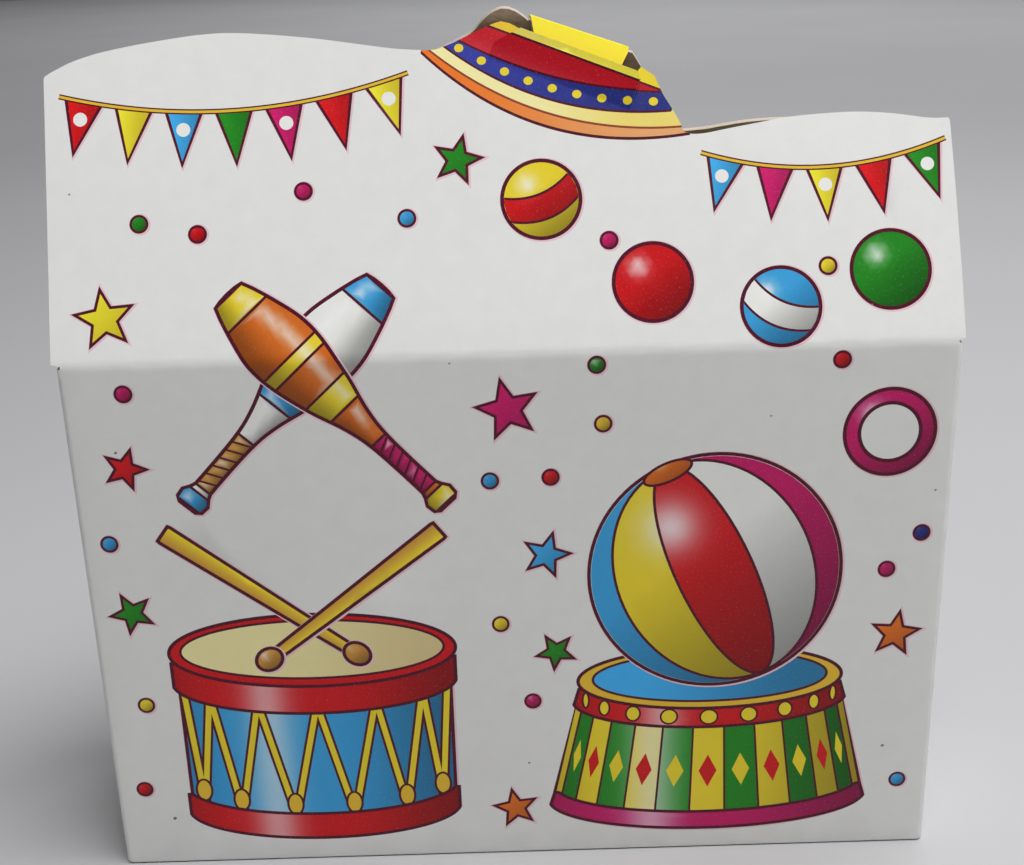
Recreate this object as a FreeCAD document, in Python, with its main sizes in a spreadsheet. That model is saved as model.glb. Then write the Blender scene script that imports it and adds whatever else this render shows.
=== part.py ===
import FreeCAD, Part
import math
import os

# A small card jack in the box: a die-cut folding carton with a gable roof that
# locks with a tab, and a doll on a coil spring inside it.
# Millimetres, +Z up, the front faces -Y, origin under the middle of the carton.

V = FreeCAD.Vector
doc = FreeCAD.newDocument("jack_in_the_box")

# ---------------------------------------------------------------- dimensions
sheet = doc.addObject("Spreadsheet::Sheet", "Dimensions")
ROWS = [
    ("carton_width", 90.0),      # outside, left to right
    ("carton_depth", 27.0),      # outside, front to back
    ("crease_height", 58.9),     # from the table to the roof creases
    ("wall_height", 58.7),       # walls stop just under the crease line
    ("board", 0.55),             # thickness of the folding board
    ("roof_lean", 22.5),         # degrees from upright
    ("crease_gap", 0.25),        # roof panel starts this far up from the crease
    ("glue_width", 8.95),
    ("glue_height", 52.0),
    ("bottom_front_reach", 25.2),
    ("bottom_back_reach", 17.5),
    ("bottom_side_reach", 22.0),
    ("bottom_side_width", 25.0),
    ("dust_gap", 0.7),
    ("dust_reach", 20.0),
    ("tongue_bend", 14.0),       # degrees forward of the roof panel
    ("tongue_height", 3.996),
    ("tab_drop", 50.0),          # degrees below level
    ("card_width", 87.0),
    ("card_depth", 24.4),
    ("disc_radius", 8.5),
    ("disc_height", 2.0),
    ("spring_radius", 6.6),
    ("spring_wire", 0.8),
    ("spring_pitch", 1.7),
    ("spring_turns", 9.0),
    ("staple_wire", 0.5),
    ("cloth_inner", 8.7),
    ("cloth_outer", 9.4),
    ("peg_radius", 2.5),
    ("peg_height", 8.7),
    ("head_radius", 9.0),
    ("head_rise", 11.9),         # head centre above the neck disc
    ("bore_radius", 2.55),
    ("nose_radius", 1.7),
    ("eye_radius", 1.0),
    ("button_radius", 1.0),
    ("brim_radius", 10.6),
    ("pompom_radius", 2.3),
]
for i, (alias, value) in enumerate(ROWS, start=1):
    sheet.set("A%d" % i, alias)
    sheet.set("B%d" % i, str(value))
    sheet.setAlias("B%d" % i, alias)
doc.recompute()


def dim(alias):
    return float(sheet.get(alias))


W2 = dim("carton_width") / 2.0
D2 = dim("carton_depth") / 2.0
HC = dim("crease_height")
T = dim("board")
LEAN = dim("roof_lean")

NODES = []


def keep(obj, label):
    obj.Label = label
    NODES.append(obj)
    return obj


# ---------------------------------------------------------------- makers
def box(label, size, base):
    """A board or card panel: a plain box with bound sizes and place."""
    b = doc.addObject("Part::Box", label)
    for prop, expr in zip(("Length", "Width", "Height"), size):
        b.setExpression(prop, expr)
    for axis, expr in zip("xyz", base):
        b.setExpression("Placement.Base." + axis, expr)
    return keep(b, label)


def origin_plane(body, role):
    return [f for f in body.Origin.OriginFeatures if f.Role == role][0]


def lines(points):
    return [Part.LineSegment(V(a[0], a[1], 0), V(b[0], b[1], 0))
            for a, b in zip(points, points[1:])]


def spline(points):
    c = Part.BSplineCurve()
    c.interpolate([V(p[0], p[1], 0) for p in points])
    return [c]


def plate(label, geometry, placement, thickness="Dimensions.board"):
    """A die-cut panel: outline on the printed face, board behind it."""
    body = doc.addObject("PartDesign::Body", label)
    sk = body.newObject("Sketcher::SketchObject", label + "_outline")
    sk.AttachmentSupport = [(origin_plane(body, "XY_Plane"), "")]
    sk.MapMode = "FlatFace"
    sk.addGeometry(geometry, False)
    pad = body.newObject("PartDesign::Pad", label + "_board")
    pad.Profile = sk
    pad.Length = T
    pad.setExpression("Length", thickness)
    pad.Reversed = True
    body.Tip = pad
    body.Placement = placement
    return keep(body, label)


def turned(label, points, z0=0.0):
    """A turned piece: a closed outline of (radius, height) swung about +Z."""
    body = doc.addObject("PartDesign::Body", label)
    sk = body.newObject("Sketcher::SketchObject", label + "_outline")
    sk.AttachmentSupport = [(origin_plane(body, "XZ_Plane"), "")]
    sk.MapMode = "FlatFace"
    sk.addGeometry(lines(list(points) + [points[0]]), False)
    rev = body.newObject("PartDesign::Revolution", label + "_turn")
    rev.Profile = sk
    rev.ReferenceAxis = (sk, ["V_Axis"])
    rev.Angle = 360.0
    body.Tip = rev
    body.Placement = FreeCAD.Placement(V(0, 0, z0), FreeCAD.Rotation())
    return keep(body, label)


def sphere(name, radius, centre):
    s = doc.addObject("Part::Sphere", name)
    if isinstance(radius, str):
        s.setExpression("Radius", radius)
    else:
        s.Radius = radius
    s.Placement = FreeCAD.Placement(V(*centre), FreeCAD.Rotation())
    return s


def cut(label, base, tool):
    c = doc.addObject("Part::Cut", label)
    c.Base = base
    c.Tool = tool
    return keep(c, label)


def frame_of(origin, x_axis, y_axis, z_axis):
    m = FreeCAD.Matrix(x_axis.x, y_axis.x, z_axis.x, origin.x,
                       x_axis.y, y_axis.y, z_axis.y, origin.y,
                       x_axis.z, y_axis.z, z_axis.z, origin.z,
                       0, 0, 0, 1)
    return FreeCAD.Placement(m)


# ---------------------------------------------------------------- carton walls
BW, BD, BB = "Dimensions.carton_width", "Dimensions.carton_depth", "Dimensions.board"
box("front_wall", (BW, BB, "Dimensions.wall_height"),
    ("-%s / 2" % BW, "-%s / 2" % BD, "0"))
box("back_wall", (BW, BB, "Dimensions.wall_height"),
    ("-%s / 2" % BW, "%s / 2 - %s" % (BD, BB), "0"))
box("left_wall", (BB, "%s - 2 * %s" % (BD, BB), "Dimensions.wall_height"),
    ("-%s / 2" % BW, "-%s / 2 + %s" % (BD, BB), "0"))
box("right_wall", (BB, "%s - 2 * %s" % (BD, BB), "Dimensions.wall_height"),
    ("%s / 2 - %s" % (BW, BB), "-%s / 2 + %s" % (BD, BB), "0"))

# side seam: a tapered lap of the left wall, glued inside the back wall
gw, gh = dim("glue_width"), dim("glue_height")
glue = [(0, 0), (gw, 3.0), (gw, gh - 3.0), (0, gh), (0, 0)]
plate("glue_flap", lines(glue),
      frame_of(V(-W2 + T, D2 - 2 * T, 3.0), V(1, 0, 0), V(0, 0, 1), V(0, -1, 0)))

# glued bottom: the front flap is outermost and takes the table
fr, br, sr = dim("bottom_front_reach"), dim("bottom_back_reach"), dim("bottom_side_reach")
xi, yi = W2 - T, D2 - T
flat = FreeCAD.Rotation()
plate("bottom_front_flap",
      lines([(-xi, -yi), (xi, -yi), (xi, -yi + fr - 3), (xi - 3, -yi + fr),
             (-xi + 3, -yi + fr), (-xi, -yi + fr - 3), (-xi, -yi)]),
      FreeCAD.Placement(V(0, 0, T), flat))
plate("bottom_back_flap",
      lines([(-xi, yi), (-xi, yi - br + 3), (-xi + 3, yi - br), (xi - 3, yi - br),
             (xi, yi - br + 3), (xi, yi), (-xi, yi)]),
      FreeCAD.Placement(V(0, 0, 2 * T), flat))
sw = dim("bottom_side_width") / 2.0
for side, sgn in (("left", -1), ("right", 1)):
    plate("bottom_%s_flap" % side,
          lines([(sgn * xi, -sw), (sgn * (xi - sr + 4), -sw), (sgn * (xi - sr), -sw + 5),
                 (sgn * (xi - sr), sw - 5), (sgn * (xi - sr + 4), sw), (sgn * xi, sw),
                 (sgn * xi, -sw)]),
          FreeCAD.Placement(V(0, 0, 3 * T), flat))

# dust flaps, folded in level under the roof, tapered to pass inside the gable
dg, dr = dim("dust_gap"), dim("dust_reach")
for side, sgn in (("left", -1), ("right", 1)):
    pts = [(dg, -12.0), (2.6, -11.2), (dr - 2.6, -4.9), (dr - 0.7, -3.9), (dr, -2.6),
           (dr, 2.6), (dr - 0.7, 3.9), (dr - 2.6, 4.9), (2.6, 11.2), (dg, 12.0), (dg, -12.0)]
    plate("%s_dust_flap" % side, lines([(sgn * (W2 - a), b) for a, b in pts]),
          FreeCAD.Placement(V(0, 0, HC), flat))

# ---------------------------------------------------------------- roof panels
# Outlines on the panel: across from the middle, up from the crease.
CG = dim("crease_gap")
LEFT_WAVE = [(-45.7, 28.7), (-45.25, 29.5), (-44.0, 30.15), (-41.95, 30.85), (-39.55, 31.43),
             (-35.94, 32.08), (-32.34, 32.58), (-29.93, 32.83), (-27.54, 32.92), (-25.14, 32.8),
             (-21.56, 32.45), (-17.97, 31.98), (-14.39, 31.39), (-10.82, 30.81), (-8.82, 30.61),
             (-7.3, 30.5)]
HAT_LEFT = [(-7.3, 30.5), (-6.5, 30.56), (-4.92, 31.09), (-3.65, 31.67), (-2.09, 32.4),
            (-1.04, 32.85), (0.13, 33.2), (0.98, 32.98), (2.01, 32.37)]
SLOT = [(2.01, 32.37), (-0.58, 31.16), (-1.298, 29.4), (12.55, 23.75), (13.86, 26.96),
        (13.5, 27.68)]
HAT_RIGHT = [(13.5, 27.68), (13.95, 28.2), (15.25, 27.3), (15.45, 26.8)]
HAT_SIDE = [(15.45, 26.8), (16.05, 25.4), (16.8, 24.1), (17.55, 22.7), (18.0, 21.57)]
RIGHT_WAVE = [(18.0, 21.57), (18.78, 21.3), (20.08, 21.34), (21.58, 21.6), (23.59, 21.95),
              (25.59, 22.28), (27.59, 22.62), (29.59, 22.84), (32.58, 23.02), (35.57, 23.06),
              (38.55, 22.84), (41.52, 22.49), (44.2, 22.15), (44.75, 21.8)]
front_geo = (lines([(-45.7, 28.7), (-45.4, CG), (45.15, CG), (44.75, 21.8)])
             + spline(RIGHT_WAVE[::-1]) + spline(HAT_SIDE[::-1]) + lines(HAT_RIGHT[::-1])
             + lines(SLOT[::-1]) + spline(HAT_LEFT[::-1]) + spline(LEFT_WAVE[::-1]))
lean = math.radians(LEAN)
S, C = math.sin(lean), math.cos(lean)
front_frame = frame_of(V(0, -D2, HC), V(1, 0, 0), V(0, S, C), V(0, -C, S))
plate("front_roof", front_geo, front_frame)

BACK_LEFT = [(-45.5, 28.3), (-44.2, 29.45), (-40.46, 30.75), (-36.64, 31.45), (-30.39, 32.15),
             (-27.95, 32.2), (-21.94, 31.75), (-14.73, 30.7), (-9.07, 29.95), (-7.2, 29.9)]
BACK_DOME = [(-7.2, 29.9), (-5.12, 31.05), (-2.94, 32.2), (-1.89, 33.38), (-0.94, 34.26),
             (0.18, 34.78), (0.88, 34.73), (1.58, 34.44), (2.57, 33.52), (2.9, 33.06)]
BACK_EAR = [(2.9, 33.06), (12.87, 29.37), (13.5, 29.5), (14.44, 27.88)]
BACK_SIDE = [(14.44, 27.88), (15.1, 26.3), (15.8, 24.8), (16.7, 23.0), (17.6, 20.8), (18.3, 20.0)]
BACK_RIGHT = [(18.3, 20.0), (19.2, 19.9), (20.06, 19.95), (23.25, 20.29), (25.36, 20.65),
              (28.52, 21.08), (30.64, 21.25), (34.89, 21.35), (39.19, 21.15), (43.2, 20.72),
              (45.7, 20.3)]
back_geo = (lines([(-45.5, 28.3), (-45.4, CG), (45.4, CG), (45.7, 20.3)])
            + spline(BACK_RIGHT[::-1]) + spline(BACK_SIDE[::-1]) + lines(BACK_EAR[::-1])
            + spline(BACK_DOME[::-1]) + spline(BACK_LEFT[::-1]))
# the printed face looks back, so the outline is drawn mirrored left to right
back_geo = [g.copy() for g in back_geo]
for g in back_geo:
    g.mirror(V(0, 0, 0), V(0, 1, 0))
back_frame = frame_of(V(0, D2, HC), V(-1, 0, 0), V(0, -S, C), V(0, C, S))
plate("back_roof", back_geo, back_frame)

# tongue in the front panel, bent a little forward of it along its base
c0, f0 = SLOT[2], SLOT[3]
slope = math.atan2(f0[1] - c0[1], f0[0] - c0[0])
base_len = math.hypot(f0[0] - c0[0], f0[1] - c0[1])
th = dim("tongue_height")
tongue_pts = [(0.08, 0.15), (base_len - 0.08, 0.15), (base_len - 0.08, 3.4),
              (base_len - 0.68, th), (2.08, th), (0.08, 1.82), (0.08, 0.15)]
tongue_frame = front_frame.multiply(FreeCAD.Placement(
    V(c0[0], c0[1], 0), FreeCAD.Rotation(V(0, 0, 1), math.degrees(slope)))).multiply(
    FreeCAD.Placement(V(0, 0, 0), FreeCAD.Rotation(V(1, 0, 0), dim("tongue_bend"))))
plate("hat_tongue", lines(tongue_pts), tongue_frame)


# lock tab: hangs from the back panel's crown line and dips behind the tongue
def on_back(u, v):
    return V(u, D2 - v * S, HC + v * C)


P1, P2 = on_back(3.13, 33.77), on_back(13.13, 30.07)
a = (P2 - P1).normalize()
fwd = V(0, -1, 0)
fwd = (fwd - a * fwd.dot(a)).normalize()
up = fwd.cross(a)
drop = math.radians(dim("tab_drop"))
tab_y = fwd * math.cos(drop) - up * math.sin(drop)
tab_z = up * math.cos(drop) + fwd * math.sin(drop)
tab_x = a * -1.0
tab_frame = frame_of(P2, tab_x, tab_y, tab_z)
crease_len = P1.distanceToPoint(P2)


def reach_to_tongue(x_local):
    """Distance from the tab's crease to the tongue's inner top edge."""
    p = tongue_frame.multVec(V(x_local, th, -T))
    q = tab_frame.inverse().multVec(p)
    return q.x, math.hypot(q.y, q.z)


xr_, rr_ = reach_to_tongue(base_len - 0.63)
xl_, rl_ = reach_to_tongue(2.0)


def tip(x):
    return rr_ + (rl_ - rr_) * (x - xr_) / (xl_ - xr_) - 0.2


tab_pts = [(0.0, 1.05), (1.0, tip(1.0) - 0.5), (1.7, tip(1.7)), (crease_len - 1.1, tip(crease_len - 1.1)),
           (crease_len - 0.6, tip(crease_len - 0.6) - 0.35), (crease_len, 1.05), (0.0, 1.05)]
plate("lock_tab", lines(tab_pts), tab_frame)

# ---------------------------------------------------------------- spring and its base
ZC = 4 * T                         # top of the base card
box("base_card", ("Dimensions.card_width", "Dimensions.card_depth", BB),
    ("-Dimensions.card_width / 2", "-Dimensions.card_depth / 2", "3 * %s" % BB))
DH = dim("disc_height")
SW, SP, SR, SN = dim("spring_wire"), dim("spring_pitch"), dim("spring_radius"), dim("spring_turns")
Z_COIL = ZC + DH + SW / 2.0        # first coil rests on the lower disc
Z_END = Z_COIL + SP * SN
ZN = Z_END + SW / 2.0              # underside of the neck disc
ST = dim("staple_wire")


def staple(angle, z_wire, upright):
    """A wire staple over the coil, legs driven into a disc."""
    r_in, r_out = SR - SW / 2.0 - 0.15, SR + SW / 2.0 + 0.15
    if upright:
        crown = z_wire + SW / 2.0 + 0.08
        z0, z1, zc = ZC + 0.4, crown + ST, crown
    else:
        crown = z_wire - SW / 2.0 - 0.08
        z0, z1, zc = crown - ST, ZN + DH - 0.4, crown - ST
    legs = [Part.makeBox(ST, ST, z1 - z0, V(r_in - ST, -ST / 2, z0)),
            Part.makeBox(ST, ST, z1 - z0, V(r_out, -ST / 2, z0))]
    top = Part.makeBox(r_out - r_in + 2 * ST, ST, ST, V(r_in - ST, -ST / 2, zc))
    shape = top.fuse(legs).removeSplitter()
    shape.rotate(V(0, 0, 0), V(0, 0, 1), angle)
    return shape.Solids[0]


def staple_group(label, solids):
    f = doc.addObject("Part::Feature", label)
    f.Shape = Part.makeCompound(solids)
    f.Placement = FreeCAD.Placement()
    return keep(f, label)


base_staples = staple_group("base_staples", [
    staple(ang, Z_COIL + SP * ang / 360.0, True) for ang in (15, 125, 235)])
neck_staples = staple_group("neck_staples", [
    staple(-ang, Z_END - SP * ang / 360.0, False) for ang in (15, 125, 235)])


def disc(name, z):
    d = doc.addObject("Part::Cylinder", name)
    d.setExpression("Radius", "Dimensions.disc_radius")
    d.setExpression("Height", "Dimensions.disc_height")
    d.Placement = FreeCAD.Placement(V(0, 0, z), FreeCAD.Rotation())
    return d


cut("base_disc", disc("base_blank", ZC), base_staples)
cut("neck_disc", disc("neck_blank", ZN), neck_staples)

helix = Part.makeHelix(SP, SP * SN, SR)
section = Part.Wire([Part.makeCircle(SW / 2.0, V(SR, 0, 0), V(0, 1, 0))])
coil = Part.Wire(helix.Edges).makePipeShell([section], True, True)
if coil.ShapeType != "Solid":
    coil = Part.Solid(coil) if coil.ShapeType == "Shell" else coil.Solids[0]
spring = doc.addObject("Part::Feature", "spring")
spring.Shape = coil
spring.Placement = FreeCAD.Placement(V(0, 0, Z_COIL), FreeCAD.Rotation())
keep(spring, "spring")

ci, co = dim("cloth_inner"), dim("cloth_outer")
turned("spring_sleeve", [(ci, ZC + 0.2), (co, ZC + 0.2), (co, ZN + DH - 0.2), (ci, ZN + DH - 0.2)])

# ---------------------------------------------------------------- doll
ZT = ZN + DH                       # top of the neck disc
turned("cape", [(2.8, ZT), (9.7, ZT), (10.6, ZT - 9.3), (11.4, ZT - 9.3), (10.5, ZT - 0.1),
                (10.25, ZT + 0.5), (9.7, ZT + 0.7), (2.8, ZT + 0.7)])
peg = doc.addObject("Part::Cylinder", "neck_peg")
peg.setExpression("Radius", "Dimensions.peg_radius")
peg.setExpression("Height", "Dimensions.peg_height")
peg.Placement = FreeCAD.Placement(V(0, 0, ZT), FreeCAD.Rotation())
keep(peg, "neck_peg")
turned("ruff", [(2.8, ZT + 0.9), (6.5, ZT + 0.8), (10.6, ZT + 1.5), (11.0, ZT + 2.0),
                (10.6, ZT + 2.5), (6.5, ZT + 3.0), (2.8, ZT + 3.0)])

RH = dim("head_radius")
ZH = ZT + dim("head_rise")
head_ball = sphere("head_ball", "Dimensions.head_radius", (0, 0, ZH))
bore = doc.addObject("Part::Cylinder", "head_bore")
bore.setExpression("Radius", "Dimensions.bore_radius")
bore.Height = dim("peg_height") + 0.1
bore.Placement = FreeCAD.Placement(V(0, 0, ZT), FreeCAD.Rotation())
cut("head", head_ball, bore)


def seat():
    return sphere("head_seat", "Dimensions.head_radius", (0, 0, ZH))


cut("nose", sphere("nose_ball", "Dimensions.nose_radius", (0, -9.5, ZH - 0.8)), seat())
eye_pair = []
for name, sgn in (("eye_a", -1), ("eye_b", 1)):
    az, el = math.radians(22.0) * sgn, math.radians(12.0)
    r = RH - 0.1
    eye_pair.append(sphere(name, "Dimensions.eye_radius",
                           (r * math.sin(az) * math.cos(el), -r * math.cos(az) * math.cos(el),
                            ZH + r * math.sin(el))))
eyes = doc.addObject("Part::Compound", "eye_pair")
eyes.Links = eye_pair
cut("eyes", eyes, seat())


def ellipsoid(name, rx, ry, rz, centre, turn):
    e = doc.addObject("Part::Ellipsoid", name)
    e.Radius1, e.Radius2, e.Radius3 = rz, rx, ry
    e.Angle1, e.Angle2, e.Angle3 = -90.0, 90.0, 360.0
    e.Placement = FreeCAD.Placement(V(*centre), FreeCAD.Rotation(V(0, 0, 1), turn))
    return e


for side, sgn, turn in (("left", -1, 180.0), ("right", 1, 0.0)):
    cut("%s_hair" % side, ellipsoid("%s_tuft" % side, 2.9, 4.2, 4.6, (sgn * 9.3, 1.0, ZH + 1.0), turn), seat())

ZB = ZH + 6.4                      # underside of the hat's brim
rb = dim("brim_radius")
turned("hat_brim", [(6.5, ZB), (rb - 0.3, ZB), (rb, ZB + 0.4), (rb - 0.3, ZB + 0.8), (6.5, ZB + 0.8)])
ZK = ZB + 0.8
turned("hat_crown", [(6.1, ZK), (6.9, ZK), (5.4, ZK + 8.6), (0.0, ZK + 8.6), (0.0, ZK + 7.8),
                     (4.75, ZK + 7.8)])


def crown_r(z):
    return 6.9 - 1.5 * z / 8.6


turned("hat_band", [(crown_r(0.1) + 0.02, ZK + 0.1), (crown_r(0.1) + 0.42, ZK + 0.1),
                    (crown_r(2.4) + 0.42, ZK + 2.4), (crown_r(2.4) + 0.02, ZK + 2.4)])
ZP = ZK + 8.6
under = doc.addObject("Part::Box", "pompom_flat")
under.Length, under.Width, under.Height = 8.0, 8.0, 4.0
under.Placement = FreeCAD.Placement(V(-4, -4, ZP - 4.0), FreeCAD.Rotation())
cut("hat_pompom", sphere("pompom_ball", "Dimensions.pompom_radius", (0, 0, ZP + 1.8)), under)


# arms: tapered cloth sleeves that hang at the cape's sides, a hand in each cuff
def cape_form():
    k = doc.addObject("Part::Cone", "cape_form")
    k.Radius1, k.Radius2, k.Height = 11.45, 10.53, 9.3
    k.Placement = FreeCAD.Placement(V(0, 0, ZT - 9.3), FreeCAD.Rotation())
    return k


def arm_cone(name, sgn, grow=0.0):
    top, wrist = V(sgn * 9.6, 0, ZT - 1.6), V(sgn * 15.6, -1.0, ZT - 12.0)
    d = wrist - top
    k = doc.addObject("Part::Cone", name)
    k.Radius1, k.Radius2, k.Height = 2.3 + grow, 2.9 + grow, d.Length
    k.Placement = FreeCAD.Placement(top, FreeCAD.Rotation(V(0, 0, 1), d))
    return k


for side, sgn in (("left", -1), ("right", 1)):
    cut("%s_sleeve" % side, arm_cone("%s_arm" % side, sgn), cape_form())
    cut("%s_hand" % side, ellipsoid("%s_fist" % side, 2.1, 2.0, 2.5, (sgn * 16.3, -1.1, ZT - 13.4), 0.0),
        arm_cone("%s_cuff" % side, sgn))

buttons = []
for name, z in (("button_a", ZT - 2.6), ("button_b", ZT - 6.2)):
    r = 10.53 + (11.45 - 10.53) * (ZT - z) / 9.3
    buttons.append(sphere(name, "Dimensions.button_radius", (0, -r, z)))
pair = doc.addObject("Part::Compound", "button_pair")
pair.Links = buttons
cut("cape_buttons", pair, cape_form())

# ---------------------------------------------------------------- check and write
doc.recompute()
for obj in doc.Objects:
    if "Invalid" in obj.State or "Error" in obj.State:
        raise SystemExit("failed: %s %s" % (obj.Label, obj.State))
for obj in NODES:
    sh = obj.Shape
    if sh.isNull() or not sh.isValid() or not sh.Solids:
        raise SystemExit("bad shape: %s" % obj.Label)

os.makedirs("parts", exist_ok=True)
total = 0.0
for obj in NODES:
    obj.Shape.exportStep(os.path.join("parts", obj.Label + ".step"))
    total += obj.Shape.Volume
print("%d nodes, %.0f mm3" % (len(NODES), total))
print("tab crease P1 %s P2 %s axis %s" % (P1, P2, tab_x))
base_a = tongue_frame.multVec(V(0, 0, 0))
base_b = tongue_frame.multVec(V(base_len, 0, 0))
print("tongue base %s %s axis %s" % (base_a, base_b, (base_b - base_a).normalize()))
print("levels neck %.2f top %.2f head %.2f brim %.2f crown top %.2f coil %.2f" % (ZN, ZT, ZH, ZB, ZP, Z_COIL))
print("tab reach right %.2f left %.2f" % (tip(0), tip(crease_len)))
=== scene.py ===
import math
import random

import bpy
import numpy as np
from mathutils import Matrix, Vector
from mathutils.geometry import delaunay_2d_cdt


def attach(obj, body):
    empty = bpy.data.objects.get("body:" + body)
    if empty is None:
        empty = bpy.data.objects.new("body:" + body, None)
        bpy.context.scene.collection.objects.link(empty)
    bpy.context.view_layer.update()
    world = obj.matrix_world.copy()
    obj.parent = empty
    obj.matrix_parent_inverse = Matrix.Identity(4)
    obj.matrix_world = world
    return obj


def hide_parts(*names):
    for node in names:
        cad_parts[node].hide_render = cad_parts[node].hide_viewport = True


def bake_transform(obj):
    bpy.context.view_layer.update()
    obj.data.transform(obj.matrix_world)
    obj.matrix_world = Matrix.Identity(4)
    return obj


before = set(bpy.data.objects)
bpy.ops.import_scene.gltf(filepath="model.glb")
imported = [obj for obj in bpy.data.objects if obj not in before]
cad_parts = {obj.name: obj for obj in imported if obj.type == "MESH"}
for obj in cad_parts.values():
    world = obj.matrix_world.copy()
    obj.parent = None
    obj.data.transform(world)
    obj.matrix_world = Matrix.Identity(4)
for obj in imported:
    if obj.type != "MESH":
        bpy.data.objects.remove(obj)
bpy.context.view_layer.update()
random.seed(7)
MM = 0.001

# ------------------------------------------------------------------ sizes shared with the CAD, mm
W2, D2, HC = 45.0, 13.5, 58.9          # half width, half depth, crease height
TH = 0.55                              # board
LEAN = math.radians(22.5)
SL, CL = math.sin(LEAN), math.cos(LEAN)
RV = 0.70                              # outer radius of the vertical folds
RB = 0.34                              # outer radius of the bottom folds
XW = W2 - RV + RV * math.pi / 2        # developed half width with the fold arcs
FW = 0.62                              # half width of the top crease
CREASE = HC - 0.15                     # where its bend is centred

LEFT_WAVE = [(-45.7, 28.8), (-45.6, 29.06), (-45.05, 29.42), (-44.09, 29.9), (-43.1, 30.38), (-41.6, 30.9), (-39.55, 31.43), (-35.94, 32.08),
             (-32.34, 32.58), (-29.93, 32.83), (-27.54, 32.92), (-25.14, 32.8), (-21.56, 32.45), (-17.97, 31.98),
             (-14.39, 31.39), (-10.82, 30.81), (-8.82, 30.61), (-7.3, 30.5)]
HAT_LEFT = [(-7.3, 30.5), (-6.5, 30.56), (-4.92, 31.09), (-3.65, 31.67), (-2.09, 32.4), (-1.04, 32.85), (0.13, 33.2),
            (0.98, 32.98), (2.01, 32.37)]
SLOT = [(2.01, 32.37), (-0.58, 31.16), (-1.298, 29.4), (12.55, 23.75), (13.86, 26.96), (13.5, 27.68)]
HAT_RIGHT = [(13.5, 27.68), (13.95, 28.2), (15.25, 27.3), (15.45, 26.8)]
HAT_SIDE = [(15.45, 26.8), (16.05, 25.4), (16.8, 24.1), (17.55, 22.7), (18.0, 21.57)]
RIGHT_WAVE = [(18.0, 21.57), (18.78, 21.3), (20.08, 21.34), (21.58, 21.6), (23.59, 21.95), (25.59, 22.28),
              (27.59, 22.62), (29.59, 22.84), (32.58, 23.02), (35.57, 23.06), (38.55, 22.84), (40.6, 22.54),
              (42.1, 22.3), (43.2, 22.21), (43.9, 22.22), (44.32, 22.24), (44.47, 22.14), (44.55, 21.8)]
BACK_LEFT = [(-45.5, 28.3), (-44.2, 29.45), (-40.46, 30.75), (-36.64, 31.45), (-30.39, 32.15), (-27.95, 32.2),
             (-21.94, 31.75), (-14.73, 30.7), (-9.07, 29.95), (-7.2, 29.9)]
BACK_DOME = [(-7.2, 29.9), (-5.12, 31.05), (-2.94, 32.2), (-1.89, 33.38), (-0.94, 34.26), (0.18, 34.78), (0.88, 34.73),
             (1.58, 34.44), (2.16, 34.02), (2.58, 33.66), (2.98, 33.2), (3.26, 32.8), (3.38, 32.6)]
BACK_EAR = [(3.38, 32.6), (3.47, 32.5), (3.6, 32.56), (2.923, 33.514), (12.975, 29.667), (13.5, 29.5), (14.44, 27.88)]
BACK_SIDE = [(14.44, 27.88), (15.1, 26.3), (15.8, 24.8), (16.7, 23.0), (17.6, 21.0), (18.3, 20.4)]
BACK_RIGHT = [(18.3, 20.4), (19.2, 20.26), (20.06, 20.32), (21.6, 20.45), (23.25, 20.74), (25.36, 21.08), (26.4, 21.2),
              (28.52, 21.34), (30.64, 21.36), (34.89, 21.38), (39.19, 21.15), (43.2, 20.72), (45.7, 20.3)]


def smooth(t):
    t = np.clip(t, 0.0, 1.0)
    return t * t * (3 - 2 * t)


def curve(pts, gap=0.45):
    """Points along a smooth line through pts."""
    p = np.array(pts, float)
    q = np.vstack([2 * p[0] - p[1], p, 2 * p[-1] - p[-2]])
    out = []
    for i in range(len(p) - 1):
        a, b, c, d = q[i:i + 4]
        n = max(1, int(np.linalg.norm(c - b) / gap))
        for t in np.arange(n) / n:
            out.append(0.5 * (2 * b + (c - a) * t + (2 * a - 5 * b + 4 * c - d) * t ** 2
                              + (3 * b - a - 3 * c + d) * t ** 3))
    out.append(p[-1])
    return [tuple(v) for v in out]


def up(pts):
    """Roof coordinates (across, up from the crease) to developed sheet coordinates."""
    return [(x, y + HC) for x, y in pts]


# ------------------------------------------------------------------ colours (sRGB 0-255)
SKY, DEEP, YEL, GOLD = (64, 168, 230), (44, 52, 132), (244, 220, 52), (238, 196, 58)
RED, GREEN, MAG, ORG, TAN = (214, 24, 30), (36, 140, 34), (204, 28, 106), (222, 112, 36), (216, 156, 68)
LINE, CREAM, WHITE, PINK = (86, 20, 42), (250, 240, 176), (246, 246, 242), (240, 205, 212)
BOARD = (238, 238, 236)
FLAP_PAINTED_SHADE = (198, 198, 195)          # painted shade: the dust flaps' outer face in a grey below the board white, so that their strongly lit tops do not blow out


def linear(c):
    c = np.asarray(c, float) / 255.0
    return np.where(c <= 0.04045, c / 12.92, ((c + 0.055) / 1.055) ** 2.4)


# ------------------------------------------------------------------ flat print, drawn in sheet coordinates
def ccw(p):
    p = np.asarray(p, float)
    x, y = p[:, 0], p[:, 1]
    return p if (x * np.roll(y, -1) - np.roll(x, -1) * y).sum() > 0 else p[::-1]


def offset(poly, d):
    p = ccw(poly)
    e = np.roll(p, -1, 0) - p
    keep = np.linalg.norm(e, axis=1) > 1e-6
    p = p[keep]
    e = np.roll(p, -1, 0) - p
    e /= np.linalg.norm(e, axis=1)[:, None]
    n2 = np.c_[e[:, 1], -e[:, 0]]
    n1 = np.roll(n2, 1, 0)
    k = np.maximum(1 + (n1 * n2).sum(1), 0.28)
    return p + d * (n1 + n2) / k[:, None]


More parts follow.
